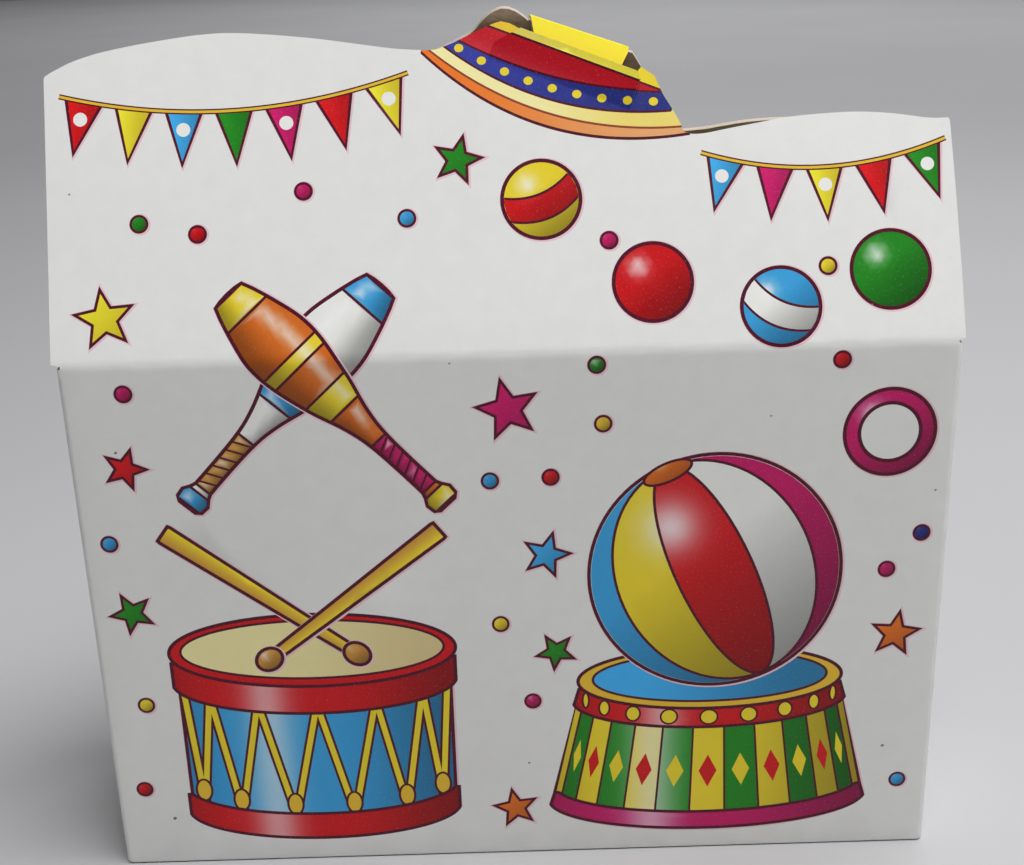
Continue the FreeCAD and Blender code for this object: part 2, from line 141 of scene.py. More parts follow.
def ell(cx, cy, rx, ry, rot=0.0, n=56, a0=0.0, a1=360.0):
    full = abs(a1 - a0) >= 359.9
    t = np.radians(np.linspace(a0, a1, n, endpoint=not full))
    c, s = math.cos(math.radians(rot)), math.sin(math.radians(rot))
    x, y = rx * np.cos(t), ry * np.sin(t)
    return np.c_[cx + c * x - s * y, cy + s * x + c * y]


def ribbon(path, w):
    p = np.asarray(path, float)
    d = np.gradient(p, axis=0)
    d /= np.maximum(np.linalg.norm(d, axis=1), 1e-9)[:, None]
    n = np.c_[-d[:, 1], d[:, 0]]
    w = np.broadcast_to(np.asarray(w, float), (len(p),))[:, None] / 2
    return np.vstack([p + n * w, (p - n * w)[::-1]])


class Art:
    def __init__(self):
        self.ops = []

    def fill(self, poly, colour):
        self.ops.append((np.asarray(poly, float), colour))

    def shape(self, poly, colour, w=0.38, line=LINE, fringe=True):
        if fringe:
            self.fill(offset(poly, w / 2 + 0.13) + np.array([0.09, -0.05]), PINK)
        self.fill(offset(poly, w / 2), line)
        self.fill(offset(poly, -w / 2), colour)

    def stroke(self, path, w, colour):
        self.fill(ribbon(path, w), colour)


def tint(colour, k):
    return np.clip(np.asarray(colour, float) * k, 0, 255)


def mixed(a, b, t):
    t = np.asarray(t)[:, None]
    return np.asarray(a, float) * (1 - t) + np.asarray(b, float) * t


def barrel(colour, x0, x1, light=0.32):
    """Round body shaded across, with a soft highlight."""
    base = np.asarray(colour, float)

    def f(p):
        t = (p[:, 0] - x0) / (x1 - x0)
        k = 1.0 - 0.34 * smooth((t - 0.55) / 0.5) - 0.16 * smooth((0.16 - t) / 0.2)
        return mixed(base * k[:, None], (255, 255, 255), 0.62 * np.exp(-((t - light) / 0.085) ** 2))
    return f


def orb(colour, cx, cy, r):
    base = np.asarray(colour, float)

    def f(p):
        q = (p - np.array([cx, cy])) / r
        edge = np.clip((q[:, 0] * 0.6 - q[:, 1] * 0.8 + 0.25), 0, 1.2)
        hl = np.exp(-(((q[:, 0] + 0.36) ** 2 + (q[:, 1] - 0.40) ** 2) / 0.055))
        return mixed(base * (1 - 0.30 * edge)[:, None], (255, 255, 255), 0.88 * hl)
    return f


def ramp(c0, c1, p0, p1):
    a, d = np.asarray(p0, float), np.asarray(p1, float) - np.asarray(p0, float)

    def f(p):
        return mixed(c0, c1, smooth(((p - a) @ d) / (d @ d)))
    return f


def draw_star(A, cx, cy, r, rot, colour):
    t = np.radians(np.arange(10) * 36 + rot + 90)
    rr = np.where(np.arange(10) % 2 == 0, r, r * 0.44)
    pts = np.c_[cx + rr * np.cos(t), cy + rr * np.sin(t)]
    A.shape(pts, ramp(tint(colour, 1.12), tint(colour, 0.86), (cx - r, cy + r), (cx + r, cy - r)), w=0.30)


def draw_orb(A, cx, cy, r, colour, second=None, rot=0.0):
    A.shape(ell(cx, cy, r, r), orb(colour, cx, cy, r))
    if second is not None:
        c, s = math.cos(math.radians(rot)), math.sin(math.radians(rot))

        def place(p):
            return np.c_[cx + c * p[:, 0] - s * p[:, 1], cy + s * p[:, 0] + c * p[:, 1]]
        rr = r - 0.19
        x = np.linspace(-rr, rr, 60)
        lo, hi = 0.30 * x * x / r - 0.52 * r, 0.30 * x * x / r + 0.14 * r
        edge = np.sqrt(np.maximum(rr * rr - x * x, 0))
        for grow, colour in ((0.13, LINE), (-0.13, orb(second, cx, cy, r))):
            a, b = np.clip(lo - grow, -edge, edge), np.clip(hi + grow, -edge, edge)
            A.fill(place(np.vstack([np.c_[x, a], np.c_[x, b][::-1]])), colour)


def draw_drum(A, cx, base, k=1.0):
    rx, ry = 14.6 * k, 4.0 * k
    zb, zt = base + 6.2 * k, base + 22.5 * k
    th = np.radians(np.linspace(-90, 90, 46))
    hoop, rim = np.radians(np.linspace(-83, 83, 46)), np.radians(np.linspace(-75, 75, 42))

    def at(angle, z):
        return cx + rx * math.sin(angle), z - ry * math.cos(angle)
    shell = [(cx - rx, zt)] + [at(a, zb) for a in th] + [(cx + rx, zt)]
    A.shape(shell, barrel(SKY, cx - rx, cx + rx))
    # lacing between the hoops
    ang = np.radians(np.linspace(-78, 78, 13))
    zig = [at(a, zb + 1.0 * k if i % 2 else zt - 1.0 * k) for i, a in enumerate(ang)]
    for (a, b) in zip(zig[:-1], zig[1:]):
        A.stroke([a, b], 1.15 * k, LINE)
    for (a, b) in zip(zig[:-1], zig[1:]):
        A.stroke([a, b], 0.62 * k, YEL)
    for i, p in enumerate(zig):
        if i % 2:
            A.shape(ell(p[0], p[1] + 1.6 * k, 0.85 * k, 1.35 * k), GOLD, w=0.26, fringe=False)
    # hoops
    for z, w0, w1, grow in ((zb, -1.7, 1.5, 0.5), (zt, -1.9, 1.6, 0.7)):
        r = rx + grow * k
        low = [(cx + r * math.sin(a), z + w0 * k - (ry + 0.15) * math.cos(a)) for a in hoop]
        top = [(cx + r * math.sin(a), z + w1 * k - (ry + 0.15) * math.cos(a)) for a in rim]
        x, y = r * math.sin(hoop[-1]), z + (w1 - 0.6) * k - (ry + 0.15) * math.cos(hoop[-1])
        A.shape(low + [(cx + x, y)] + top[::-1] + [(cx - x, y)], barrel(RED, cx - r, cx + r), fringe=False)
    r = rx + 0.7 * k
    A.shape(ell(cx, zt + 1.6 * k, r, ry + 0.3 * k, n=80), RED, fringe=False)
    A.shape(ell(cx, zt + 1.75 * k, r - 1.25 * k, ry - 0.55 * k, n=80),
            ramp(CREAM, (226, 206, 150), (cx - rx * 0.4, zt + 3), (cx + rx, zt - 2)), w=0.28, fringe=False)


def draw_stick(A, p0, p1, w, tip):
    p0, p1 = np.array(p0, float), np.array(p1, float)
    d = (p1 - p0) / np.linalg.norm(p1 - p0)
    n = np.array([-d[1], d[0]])
    body = [p0 + n * w * 0.58, p0 + d * 0.3 + n * w * 0.62, p1 + n * w * 0.36, p1 - n * w * 0.36,
            p0 + d * 0.3 - n * w * 0.62, p0 - n * w * 0.58]
    mid = (p0 + p1) / 2
    A.shape(body, ramp(tint(YEL, 1.05), TAN, mid + n * w * 0.6, mid - n * w * 0.6))
    A.shape(ell(p1[0], p1[1], tip, tip * 0.84, math.degrees(math.atan2(d[1], d[0])), 30), orb(TAN, p1[0], p1[1], tip))


def draw_tub(A, cx, base, k=1.0):
    H = 15.0 * k

    def at(angle, f):
        rx = (17.2 - 3.4 * f) * k
        return (cx + rx * math.sin(angle), base + 4.6 * k + f * H - (4.2 - 0.6 * f) * k * math.cos(angle))

    def band(f0, f1, colour, grow=0.0, w=0.38, fringe=False):
        t = np.radians(np.linspace(-83, 83, 50))
        ends = [np.array(at(a, f1)) - np.array([0.0, 0.5 * k]) for a in t[[0, -1]]]
        lo, hi = [at(a, f0) for a in t], [at(a, f1) for a in np.radians(np.linspace(-75, 75, 46))]
        ring = lo + [ends[1]] + hi[::-1] + [ends[0]]
        A.shape([(cx + (x - cx) * (1 + grow), y) for x, y in ring], colour, w=w, fringe=fringe)
    A.shape([at(a, 0.0) for a in np.radians(np.linspace(-90, 90, 50))]
            + [at(a, 1.0) for a in np.radians(np.linspace(90, -90, 50))], barrel(YEL, cx - 17 * k, cx + 17 * k))
    edges = np.radians(np.linspace(-88, 88, 14))
    shade = barrel(GREEN, cx - 17 * k, cx + 17 * k)
    for n_, (a0, a1) in enumerate(zip(edges[:-1], edges[1:])):
        sides = [[at(a, f) for f in np.linspace(0.10, 0.90, 8)] for a in (a0, a1)]
        if n_ % 2:
            A.fill(np.array(sides[0] + sides[1][::-1]), shade)
    for a in edges[1:-1]:
        A.stroke([at(a, f) for f in np.linspace(0.08, 0.92, 8)], 0.24, LINE)
    for n_, (a0, a1) in enumerate(zip(edges[1:-2], edges[2:-1])):
        mid, off = (a0 + a1) / 2, (a1 - a0) * 0.27
        A.fill(np.array([at(mid, 0.347), at(mid + off, 0.48), at(mid, 0.613), at(mid - off, 0.48)]), RED if n_ % 2 else YEL)
    band(0.0, 0.14, barrel(MAG, cx - 17.4 * k, cx + 17.4 * k), 0.02)
    band(0.84, 1.0, barrel(RED, cx - 14.4 * k, cx + 14.4 * k), 0.03)
    for c in range(9):
        a = math.radians(-72 + 18 * c)
        x, y = at(a, 0.92)
        A.shape(ell(x, y, 0.95 * k * max(0.35, math.cos(a)), 0.9 * k), YEL, w=0.22, fringe=False)
    A.shape(ell(cx, base + 4.6 * k + H, 14.2 * k, 3.75 * k, n=80), GOLD, fringe=False)
    A.shape(ell(cx, base + 4.75 * k + H, 12.6 * k, 3.0 * k, n=80),
            ramp(tint(SKY, 1.1), tint(SKY, 0.75), (cx - 8 * k, base + H + 7 * k), (cx + 12 * k, base + H + 3 * k)),
            w=0.28, fringe=False)


def draw_ball(A, cx, cy, r, tilt):
    A.shape(ell(cx, cy, r, r, n=96), orb(WHITE, cx, cy, r))
    c, s = math.cos(math.radians(tilt)), math.sin(math.radians(tilt))
    t = np.radians(np.linspace(-90, 90, 40))
    phis = np.radians([-90, -52, -18, 18, 52, 90])
    cols = (SKY, YEL, RED, WHITE, MAG)
    rr = r - 0.22

    def meridian(phi):
        x, y = rr * math.sin(phi) * np.cos(t), rr * np.sin(t)
        return np.c_[cx + c * x - s * y, cy + s * x + c * y]
    for p0, p1, col in zip(phis[:-1], phis[1:], cols):
        A.fill(np.vstack([meridian(p0), meridian(p1)[::-1]]), orb(col, cx, cy, r))
    for p0 in phis[1:-1]:
        A.stroke(meridian(p0), 0.30, LINE)
    top = np.array([cx - s * rr * 0.955, cy + c * rr * 0.955])
    A.shape(ell(top[0], top[1], r * 0.20, r * 0.075, tilt, 30), orb(ORG, top[0], top[1], r * 0.2), w=0.28, fringe=False)


CLUB = [(0.0, 0.0), (0.0, 1.0), (0.4, 1.5), (1.3, 1.6), (2.0, 1.15), (2.6, 0.92), (9.0, 0.98), (12.5, 1.5), (16.5, 2.7),
        (20.5, 3.5), (23.5, 3.55), (26.5, 2.9), (29.0, 2.15), (30.0, 1.75), (30.2, 0.0)]


def draw_club(A, p0, deg, k, body, stripe, grip):
    c, s = math.cos(math.radians(deg)), math.sin(math.radians(deg))
    prof = np.array(curve(CLUB, 0.6))
    prof[:, 1] = np.maximum(prof[:, 1], 0)

    def at(d, h):
        return np.c_[p0[0] + k * (c * d - s * h), p0[1] + k * (s * d + c * h)]

    def radius(d):
        return np.interp(d, prof[1:-1, 0], prof[1:-1, 1])
    ring = np.vstack([at(prof[:, 0], prof[:, 1]), at(prof[::-1, 0], -prof[::-1, 1])])

    def shaded(colour):
        base = np.asarray(colour, float)

        def f(p):
            q = (p - np.array(p0)) / k
            d, h = q[:, 0] * c + q[:, 1] * s, -q[:, 0] * s + q[:, 1] * c
            v = h / np.maximum(radius(d), 0.3)
            up_side = v if c >= 0 else -v
            kk = 1 - 0.34 * smooth((-up_side + 0.1) / 1.0)
            return mixed(base * kk[:, None], (255, 255, 255), 0.7 * np.exp(-((up_side - 0.42) / 0.2) ** 2))
        return f
    A.shape(ring, shaded(body))

    def slice_(d0, d1, colour, line=True):
        dd = np.linspace(d0, d1, 14)
        rr = np.maximum(radius(dd) - 0.19 / k, 0.05)
        poly = np.vstack([at(dd, rr), at(dd[::-1], -rr[::-1])])
        A.fill(poly, shaded(colour))
        if line:
            for d in (d0, d1):
                r = max(radius(d) - 0.1 / k, 0.05)
                A.stroke(at(np.array([d, d]), np.array([r, -r])), 0.28, LINE)
    slice_(0.25, 1.95, stripe)
    slice_(2.6, 9.6, grip)
    for d in np.arange(3.4, 9.4, 1.1):
        A.stroke(at(np.array([d - 0.35, d + 0.35]), np.array([0.8, -0.8])), 0.22, LINE)
    slice_(14.2, 16.8, stripe)
    slice_(20.2, 21.6, stripe)
    slice_(27.4, 30.0, stripe)


def draw_bunting(A, p0, p1, sag, n, size, cols):
    p0, p1 = np.array(p0, float), np.array(p1, float)
    t = np.linspace(0, 1, 60)
    line = p0 + (p1 - p0) * t[:, None]
    line[:, 1] -= sag * 4 * t * (1 - t)

    def at(u):
        return np.array([np.interp(u, t, line[:, 0]), np.interp(u, t, line[:, 1])])
    for i in range(n):
        u0, u1 = (i + 0.14) / n, (i + 0.86) / n
        a, b = at(u0), at(u1)
        m = at((u0 + u1) / 2)
        d = (b - a) / np.linalg.norm(b - a)
        tip = m + np.array([d[1], -d[0]]) * size
        col = cols[i % len(cols)]
        A.shape([a, tip, b], ramp(tint(col, 1.12), tint(col, 0.88), a, b), w=0.32)
        if i % 2 == 0:
            q = m + np.array([d[1], -d[0]]) * size * 0.34
            A.fill(ell(q[0], q[1], size * 0.13, size * 0.13, n=20), WHITE)
    A.stroke(line, 0.55, LINE)
    A.stroke(line, 0.26, GOLD)


def draw_ring(A, cx, cy, r, w, colour, rot=0.0, squash=1.0):
    outer, inner = ell(cx, cy, r, r * squash, rot, 64), ell(cx, cy, r - w, (r - w) * squash, rot, 64)
    A.fill(offset(outer, 0.32) + np.array([0.09, -0.05]), PINK)
    A.fill(offset(outer, 0.19), LINE)
    A.fill(offset(outer, -0.19), orb(colour, cx, cy, r * 1.1))
    A.fill(offset(inner, 0.19), LINE)
    A.fill(offset(inner, -0.19), BOARD)


def arc(p0, p1, sag, n=40):
    p0, p1 = np.array(p0, float), np.array(p1, float)
    d = (p1 - p0) / np.linalg.norm(p1 - p0)
    down = np.array([d[1], -d[0]])
    t = np.linspace(0, 1, n)[:, None]
    return p0 + (p1 - p0) * t + down * sag * 4 * t * (1 - t)


# tongue base on the front panel: origin, along, up (sheet coordinates)
TC = np.array([-1.298, 29.4 + HC])
TE = np.array([12.55 + 1.298, 23.75 - 29.4])
TL = float(np.linalg.norm(TE))
TE = TE / TL
TN = np.array([-TE[1], TE[0]])


def draw_hat(A):
    low = arc((-8.0, 30.2 + HC), (18.6, 21.2 + HC), 3.5)
    rim = arc((-7.4, 30.6 + HC), (18.2, 22.0 + HC), 2.75)
    top = arc((-5.9, 30.9 + HC), (16.8, 23.6 + HC), 2.3)
    band = arc((-4.9, 31.7 + HC), (16.1, 25.5 + HC), 1.35)
    roof = np.array([(20.0, 30.0 + HC), (14.0, 36.0 + HC), (-6.0, 37.0 + HC)])
    A.fill(np.vstack([low, roof]), LINE)
    A.fill(np.vstack([low + np.array([0.06, 0.30]), roof]), ramp(tint(ORG, 1.12), (240, 176, 120), low[0], low[-1]))
    A.fill(np.vstack([rim, roof]), (150, 70, 50))
    A.fill(np.vstack([rim + np.array([0.05, 0.22]), roof]),
           ramp((255, 246, 178), (246, 226, 120), (2, 24 + HC), (14, 24 + HC)))
    A.fill(np.vstack([top, roof]), LINE)
    A.fill(np.vstack([top + np.array([0.05, 0.24]), roof]), ramp(tint(DEEP, 1.25), DEEP, (-4, 28 + HC), (14, 24 + HC)))
    for i in range(9):
        u = 0.06 + 0.11 * i
        k = np.array([np.interp(u, np.linspace(0, 1, 40), (top + band)[:, j] / 2) for j in (0, 1)])
        A.fill(ell(k[0] + 0.05, k[1] + 0.12, 0.46, 0.42, n=20), YEL)
    A.fill(np.vstack([band, roof]), LINE)
    A.fill(np.vstack([band + np.array([0.05, 0.22]), roof]),
           ramp((228, 96, 104), (198, 24, 40), TC + TN * -2.2, TC + TN * 2.4))
    # the crown's flat top, a yellow strip
    def loc(x, y):
        return TC + TE * x + TN * y
    A.fill([loc(-5, 3.05), loc(TL + 4, 3.05), loc(TL + 4, 9), loc(-5, 9)], LINE)
    A.fill([loc(-5, 3.28), loc(TL + 4, 3.28), loc(TL + 4, 9), loc(-5, 9)], ramp(GOLD, YEL, loc(-2, 3), loc(6, 4)))


def specks(A, places):
    for x, y, r, g in places:
        A.fill(ell(x, y, r, r * 0.8, 30, 10), (g, g, g - 4))


def front_art():
    A = Art()
    draw_bunting(A, (-44.2, 27.0 + HC), (-9.3, 28.3 + HC), 2.6, 7, 5.4, (RED, YEL, SKY, GREEN, MAG))
    draw_bunting(A, (19.6, 19.4 + HC), (44.0, 20.2 + HC), 2.2, 5, 5.2, (SKY, MAG, YEL, RED, GREEN))
    draw_club(A, (-33.5, 43.5), 47.0, 1.02, WHITE, SKY, TAN)
    draw_club(A, (-6.8, 43.0), 133.0, 1.02, ORG, YEL, MAG)
    draw_drum(A, -22.0, 2.6, 1.0)
    draw_stick(A, (-36.4, 40.6), (-17.2, 26.2), 1.7, 1.5)
    draw_stick(A, (-7.8, 40.2), (-26.6, 25.8), 1.7, 1.5)
    draw_tub(A, 20.5, 2.4, 1.0)
    draw_ball(A, 20.8, 34.4, 13.2, 24.0)
    draw_orb(A, 3.6, 15.2 + HC, 3.9, YEL, RED, 20)
    draw_orb(A, 14.4, 6.6 + HC, 3.9, RED)
    draw_orb(A, 27.0, 3.8 + HC, 3.9, SKY, WHITE, -25)
    draw_orb(A, 38.0, 7.2 + HC, 3.9, GREEN)
    draw_ring(A, 38.2, 49.4, 4.6, 1.5, MAG)
    draw_star(A, -0.4, 53.0, 3.2, 12, MAG)
    draw_star(A, 3.2, 37.0, 2.5, -16, SKY)
    draw_star(A, -40.0, 63.4, 3.0, 8, YEL)
    draw_star(A, -39.4, 47.8, 2.2, -20, RED)
    draw_star(A, -0.8, 6.2, 2.4, 10, ORG)
    draw_star(A, 4.0, 25.7, 2.1, 30, GREEN)
    draw_star(A, 40.2, 26.6, 2.6, -8, ORG)
    draw_star(A, -4.6, 19.4 + HC, 2.4, -14, GREEN)
    draw_star(A, -40.6, 31.6, 2.3, 24, GREEN)
    for x, y, c in ((-2.4, 45.4, SKY), (3.8, 45.6, RED), (-1.8, 29.2, YEL), (1.4, 19.8, MAG), (8.6, 57.4, GREEN),
                    (-38.6, 55.8, MAG), (-42.0, 39.6, SKY), (-30.6, 71.6, RED), (-9.8, 72.6, SKY), (-20.0, 75.6, MAG),
                    (9.2, 51.2, GOLD), (33.0, 57.2, RED), (42.2, 38.2, DEEP), (38.8, 34.2, MAG), (41.6, 8.4, SKY),
                    (-41.8, 10.0, RED), (-40.4, 20.6, YEL), (31.8, 66.6, YEL), (10.2, 69.8, MAG), (-36.4, 72.8, GREEN)):
        A.shape(ell(x, y, 0.82, 0.82, n=22), orb(c, x, y, 0.82), w=0.26)
    draw_hat(A)
    specks(A, ((-40.1, 49.6, .17, 128), (-38.9, 6.1, .22, 112), (39.7, 12.8, .20, 128), (43.3, 42.9, .13, 138),
               (26.1, 51.5, .11, 138), (-43.3, 76.0, .12, 142), (36.0, 62.6, .10, 142), (-6.0, 58.0, .11, 136),
               (0.8, 12.0, .14, 130)))
    return A


def back_art():
    A = Art()
    draw_bunting(A, (-44.0, 26.4 + HC), (-9.0, 27.4 + HC), 2.8, 7, 5.2, (MAG, SKY, RED, YEL, GREEN))
    draw_bunting(A, (20.0, 17.9 + HC), (44.0, 18.4 + HC), 2.0, 5, 5.0, (GREEN, YEL, SKY, RED, MAG))
    draw_club(A, (24.0, 40.0), 62.0, 0.92, SKY, YEL, RED)
    draw_club(A, (-25.0, 40.0), 112.0, 0.92, MAG, WHITE, TAN)
    draw_drum(A, 0.0, 2.6, 1.12)
    draw_ball(A, 0.5, 43.6, 13.4, -22.0)
    draw_orb(A, -30.0, 12.0, 4.6, RED, WHITE, 15)
    draw_orb(A, 30.5, 12.5, 4.6, GREEN, YEL, -20)
    draw_orb(A, -30.5, 30.0, 3.6, YEL)
    draw_orb(A, 31.0, 30.5, 3.6, SKY)
    draw_star(A, -2.0, 69.0, 3.2, 6, RED)
    draw_star(A, -38.0, 50.0, 2.6, 14, ORG)
    draw_star(A, 38.5, 47.0, 2.6, -12, MAG)
    draw_star(A, -18.0, 34.0, 2.2, 22, GREEN)
    draw_star(A, 19.5, 33.5, 2.2, -18, ORG)
    draw_star(A, 8.0, 65.5, 2.2, 20, YEL)
    for x, y, c in ((-40.0, 22.0, SKY), (-39.5, 5.0, MAG), (40.0, 21.0, RED), (40.5, 5.0, YEL), (-20.0, 22.0, RED),
                    (20.5, 22.5, DEEP), (-15.0, 57.0, GREEN), (15.5, 58.5, MAG), (-12.0, 71.0, SKY), (41.0, 64.0, RED)):
        A.shape(ell(x, y, 0.85, 0.85, n=22), orb(c, x, y, 0.85), w=0.26)
    draw_hat(A)
    specks(A, ((-36.0, 40.2, .14, 104), (12.6, 27.0, .12, 100), (41.0, 35.4, .16, 96), (-8.0, 61.0, .11, 110)))
    return A


# ------------------------------------------------------------------ board sheets
def inside(poly, pts):
    """Even-odd test of pts against a polygon."""
    p = np.asarray(poly, float)
    x, y = pts[:, 0], pts[:, 1]
    hit = np.zeros(len(pts), bool)
    x0, y0 = p[:, 0], p[:, 1]
    x1, y1 = np.roll(x0, -1), np.roll(y0, -1)
    for a, b, c, d in zip(x0, y0, x1, y1):
        if b == d:
            continue
        hit ^= ((b > y) != (d > y)) & (x < (c - a) * (y - b) / (d - b) + a)
    return hit


def densify(poly, gap, closed=True):
    p = np.asarray(poly, float)
    q = np.roll(p, -1, 0) if closed else p[1:]
    out = []
    for a, b in zip(p, q):
        n = max(1, int(math.ceil(np.linalg.norm(b - a) / gap)))
        out += [a + (b - a) * i / n for i in range(n)]
    if not closed:
        out.append(p[-1])
    return np.array(out)


def triangulate(outline, rows, art, step):
    """Triangles of the flat sheet that follow its cut edge, its folds and its print."""
    pts, edges = [], []

    def add(path, closed):
        i0 = len(pts)
        pts.extend(map(tuple, path))
        n = len(path)
        edges.extend((i0 + i, i0 + (i + 1) % n) for i in range(n if closed else n - 1))
    add(densify(outline, 1.2), True)
    lo, hi = np.min(outline, 0), np.max(outline, 0)
    for r in rows:
        add(densify(r, 1.2, False), False)
    if art is not None:
        for poly, _ in art.ops:
            if (poly.max(0) < lo).any() or (poly.min(0) > hi).any():
                continue
            add(poly, True)
    gx, gy = np.arange(lo[0] + step / 2, hi[0], step), np.arange(lo[1] + step / 2, hi[1], step * 0.866)
    grid = np.array([(x + (step / 2 if j % 2 else 0.0), y) for j, y in enumerate(gy) for x in gx])
    if art is None:
        keep = np.ones(len(grid), bool)
    else:                                   # close points only where something is printed
        keep = np.zeros(len(grid), bool)
        for poly, colour in art.ops:
            if callable(colour):
                b = (grid >= poly.min(0)).all(1) & (grid <= poly.max(0)).all(1) & ~keep
                i = np.nonzero(b)[0]
                keep[i] = inside(poly, grid[i])
        coarse = (np.arange(len(grid)) * 7919 % 9) == 0
        keep |= coarse
    keep &= inside(outline, grid)
    pts.extend(map(tuple, grid[keep]))
    v, _, f, *_ = delaunay_2d_cdt([Vector(p) for p in pts], edges, [], 0, 1e-4)
    v = np.array([tuple(p) for p in v])
    f = np.array(f, int)
    mid = v[f].mean(1)
    f = f[inside(outline, mid)]
    a, b, c = v[f[:, 0]], v[f[:, 1]], v[f[:, 2]]
    area = (b[:, 0] - a[:, 0]) * (c[:, 1] - a[:, 1]) - (b[:, 1] - a[:, 1]) * (c[:, 0] - a[:, 0])
    f[area < 0] = f[area < 0][:, ::-1]
    f = f[np.abs(area) > 1e-9]
    used = np.unique(f)
    new = np.full(len(v), -1)
    new[used] = np.arange(len(used))
    return v[used], new[f]


def painted(v, f, art):
    """Colour and ink cover at each corner of each triangle."""
    mid = v[f].mean(1)
    col = np.empty((len(f), 3, 4))
    col[:, :, :3] = BOARD
    col[:, :, 3] = 0.0
    if art is not None:
        which = np.full(len(f), -1)
        for i, (poly, _) in enumerate(art.ops):
            lo, hi = poly.min(0), poly.max(0)
            k = np.nonzero((mid >= lo).all(1) & (mid <= hi).all(1))[0]
            which[k[inside(poly, mid[k])]] = i
        for i in np.unique(which[which >= 0]):
            k = np.nonzero(which == i)[0]
            c = art.ops[i][1]
            p = v[f[k]].reshape(-1, 2)
            rgb = c(p) if callable(c) else np.tile(np.asarray(c, float), (len(p), 1))
            col[k, :, :3] = np.clip(rgb, 0, 255).reshape(-1, 3, 3)
            # the dust flaps' painted shade takes the bare board's finish, as BOARD does
            col[k, :, 3] = 0.0 if c is BOARD or c is FLAP_PAINTED_SHADE else 1.0
    col[:, :, :3] = linear(col[:, :, :3])
    return col


CORE = linear((188, 173, 153))
LINER = linear((202, 190, 176))


def sheet(name, outline, rows, art, place, mats, step=1.0, inner_step=2.6):
    """One piece of board: printed face, bare inner face and cut edges. place(flat points, depth) gives the shape."""
    outline = ccw(outline)
    v, f = triangulate(outline, rows, art, step)
    col = painted(v, f, art)
    n = len(v)
    e = np.concatenate([f[:, [0, 1]], f[:, [1, 2]], f[:, [2, 0]]])
    key = np.sort(e, axis=1)
    _, idx, cnt = np.unique(key, axis=0, return_index=True, return_counts=True)
    rim = e[idx[cnt == 1]]
    ring = np.unique(rim)
    # inner face: same border, coarser inside
    ids = {int(r): i for i, r in enumerate(ring)}
    pts = [tuple(p) for p in v[ring]]
    edges = [(ids[int(a)], ids[int(b)]) for a, b in rim]
    lo, hi = outline.min(0), outline.max(0)
    for r in rows:
        path = densify(r, 2.4, False)
        path = path[inside(offset(outline, -0.02), path)]
        if len(path) > 1:
            i0 = len(pts)
            pts.extend(map(tuple, path))
            edges.extend((i0 + i, i0 + i + 1) for i in range(len(path) - 1))
    g = np.array([(x, y) for y in np.arange(lo[1] + 1, hi[1], inner_step) for x in np.arange(lo[0] + 1, hi[0], inner_step)]
                 or [tuple((lo + hi) / 2)])
    g = g[inside(offset(outline, -0.25), g)]
    pts.extend(map(tuple, g))
    w, _, h, orig, *_ = delaunay_2d_cdt([Vector(p) for p in pts], edges, [], 1, 1e-5)
    w = np.array([tuple(p) for p in w])
    h = np.array(h, int)
    a, b, c = w[h[:, 0]], w[h[:, 1]], w[h[:, 2]]
    area = (b[:, 0] - a[:, 0]) * (c[:, 1] - a[:, 1]) - (b[:, 1] - a[:, 1]) * (c[:, 0] - a[:, 0])
    h[area > 0] = h[area > 0][:, ::-1]
    h = h[np.abs(area) > 1e-10]
    back_of = {}
    for i, o in enumerate(orig):
        for k in o:
            back_of[k] = i
    outer = place(v, np.zeros(n))
    inner = place(w, np.full(len(w), TH))
    mid = place(v[ring], np.full(len(ring), TH * 0.24))
    verts = np.vstack([outer, inner, mid]) * MM
    faces = [tuple(t) for t in f]
    mat = [0] * len(f)
    corner = [tuple(x) for t in col for x in t]
    faces += [tuple(t + n) for t in h]
    mat += [1] * len(h)
    corner += [(*CORE, 0.0)] * (3 * len(h))
    nm = n + len(w)
    for a, b in rim:
        ia, ib = ids[int(a)], ids[int(b)]
        if ia not in back_of or ib not in back_of:
            continue
        faces.append((b, a, nm + ia, nm + ib))
        faces.append((nm + ib, nm + ia, n + back_of[ia], n + back_of[ib]))
        mat += [2, 2]
        corner += [(*LINER, 0.0)] * 4 + [(*LINER, 0.0)] * 2 + [(*CORE, 0.0)] * 2
    me = bpy.data.meshes.new(name)
    me.from_pydata([tuple(p) for p in verts], [], faces)
    me.polygons.foreach_set("material_index", np.array(mat, np.int32))
    ink = me.color_attributes.new("Ink", "FLOAT_COLOR", "CORNER")
    ink.data.foreach_set("color", np.array(corner, np.float32).ravel())
    flat = me.attributes.new("Flat", "FLOAT_VECTOR", "POINT")
    fl = np.zeros((len(verts), 3), np.float32)
    fl[:n, :2], fl[n:nm, :2], fl[nm:, :2] = v, w, v[ring]
    fl[n:nm, 2], fl[nm:, 2] = 3.0, 1.0
    flat.data.foreach_set("vector", (fl * MM).ravel())
    for m in mats:
        me.materials.append(m)
    me.validate(clean_customdata=False)
    me.polygons.foreach_set("use_smooth", np.ones(len(me.polygons), bool))
    me.set_sharp_from_angle(angle=math.radians(50))
    ob = bpy.data.objects.new(name, me)
    bpy.context.scene.collection.objects.link(ob)
    return ob


# fold tables: developed height to depth and height, for a sheet that leans in above its crease
HT = np.arange(-1.0, 110.0, 0.02)
AT = LEAN * smooth((HT - (CREASE - FW)) / (2 * FW))
YT = np.concatenate([[0], np.cumsum((np.sin(AT[1:]) + np.sin(AT[:-1])) / 2 * 0.02)])
ZT = -1.0 + np.concatenate([[0], np.cumsum((np.cos(AT[1:]) + np.cos(AT[:-1])) / 2 * 0.02)])


def round_base(h):
    """Inset and height of the outer face along the bottom fold."""
    q = RB * math.pi / 2
    a = np.clip((q - h) / RB, 0, math.pi / 2)
    return RB * (1 - np.cos(a)), np.where(h < q, RB - RB * np.sin(a), h - (q - RB))


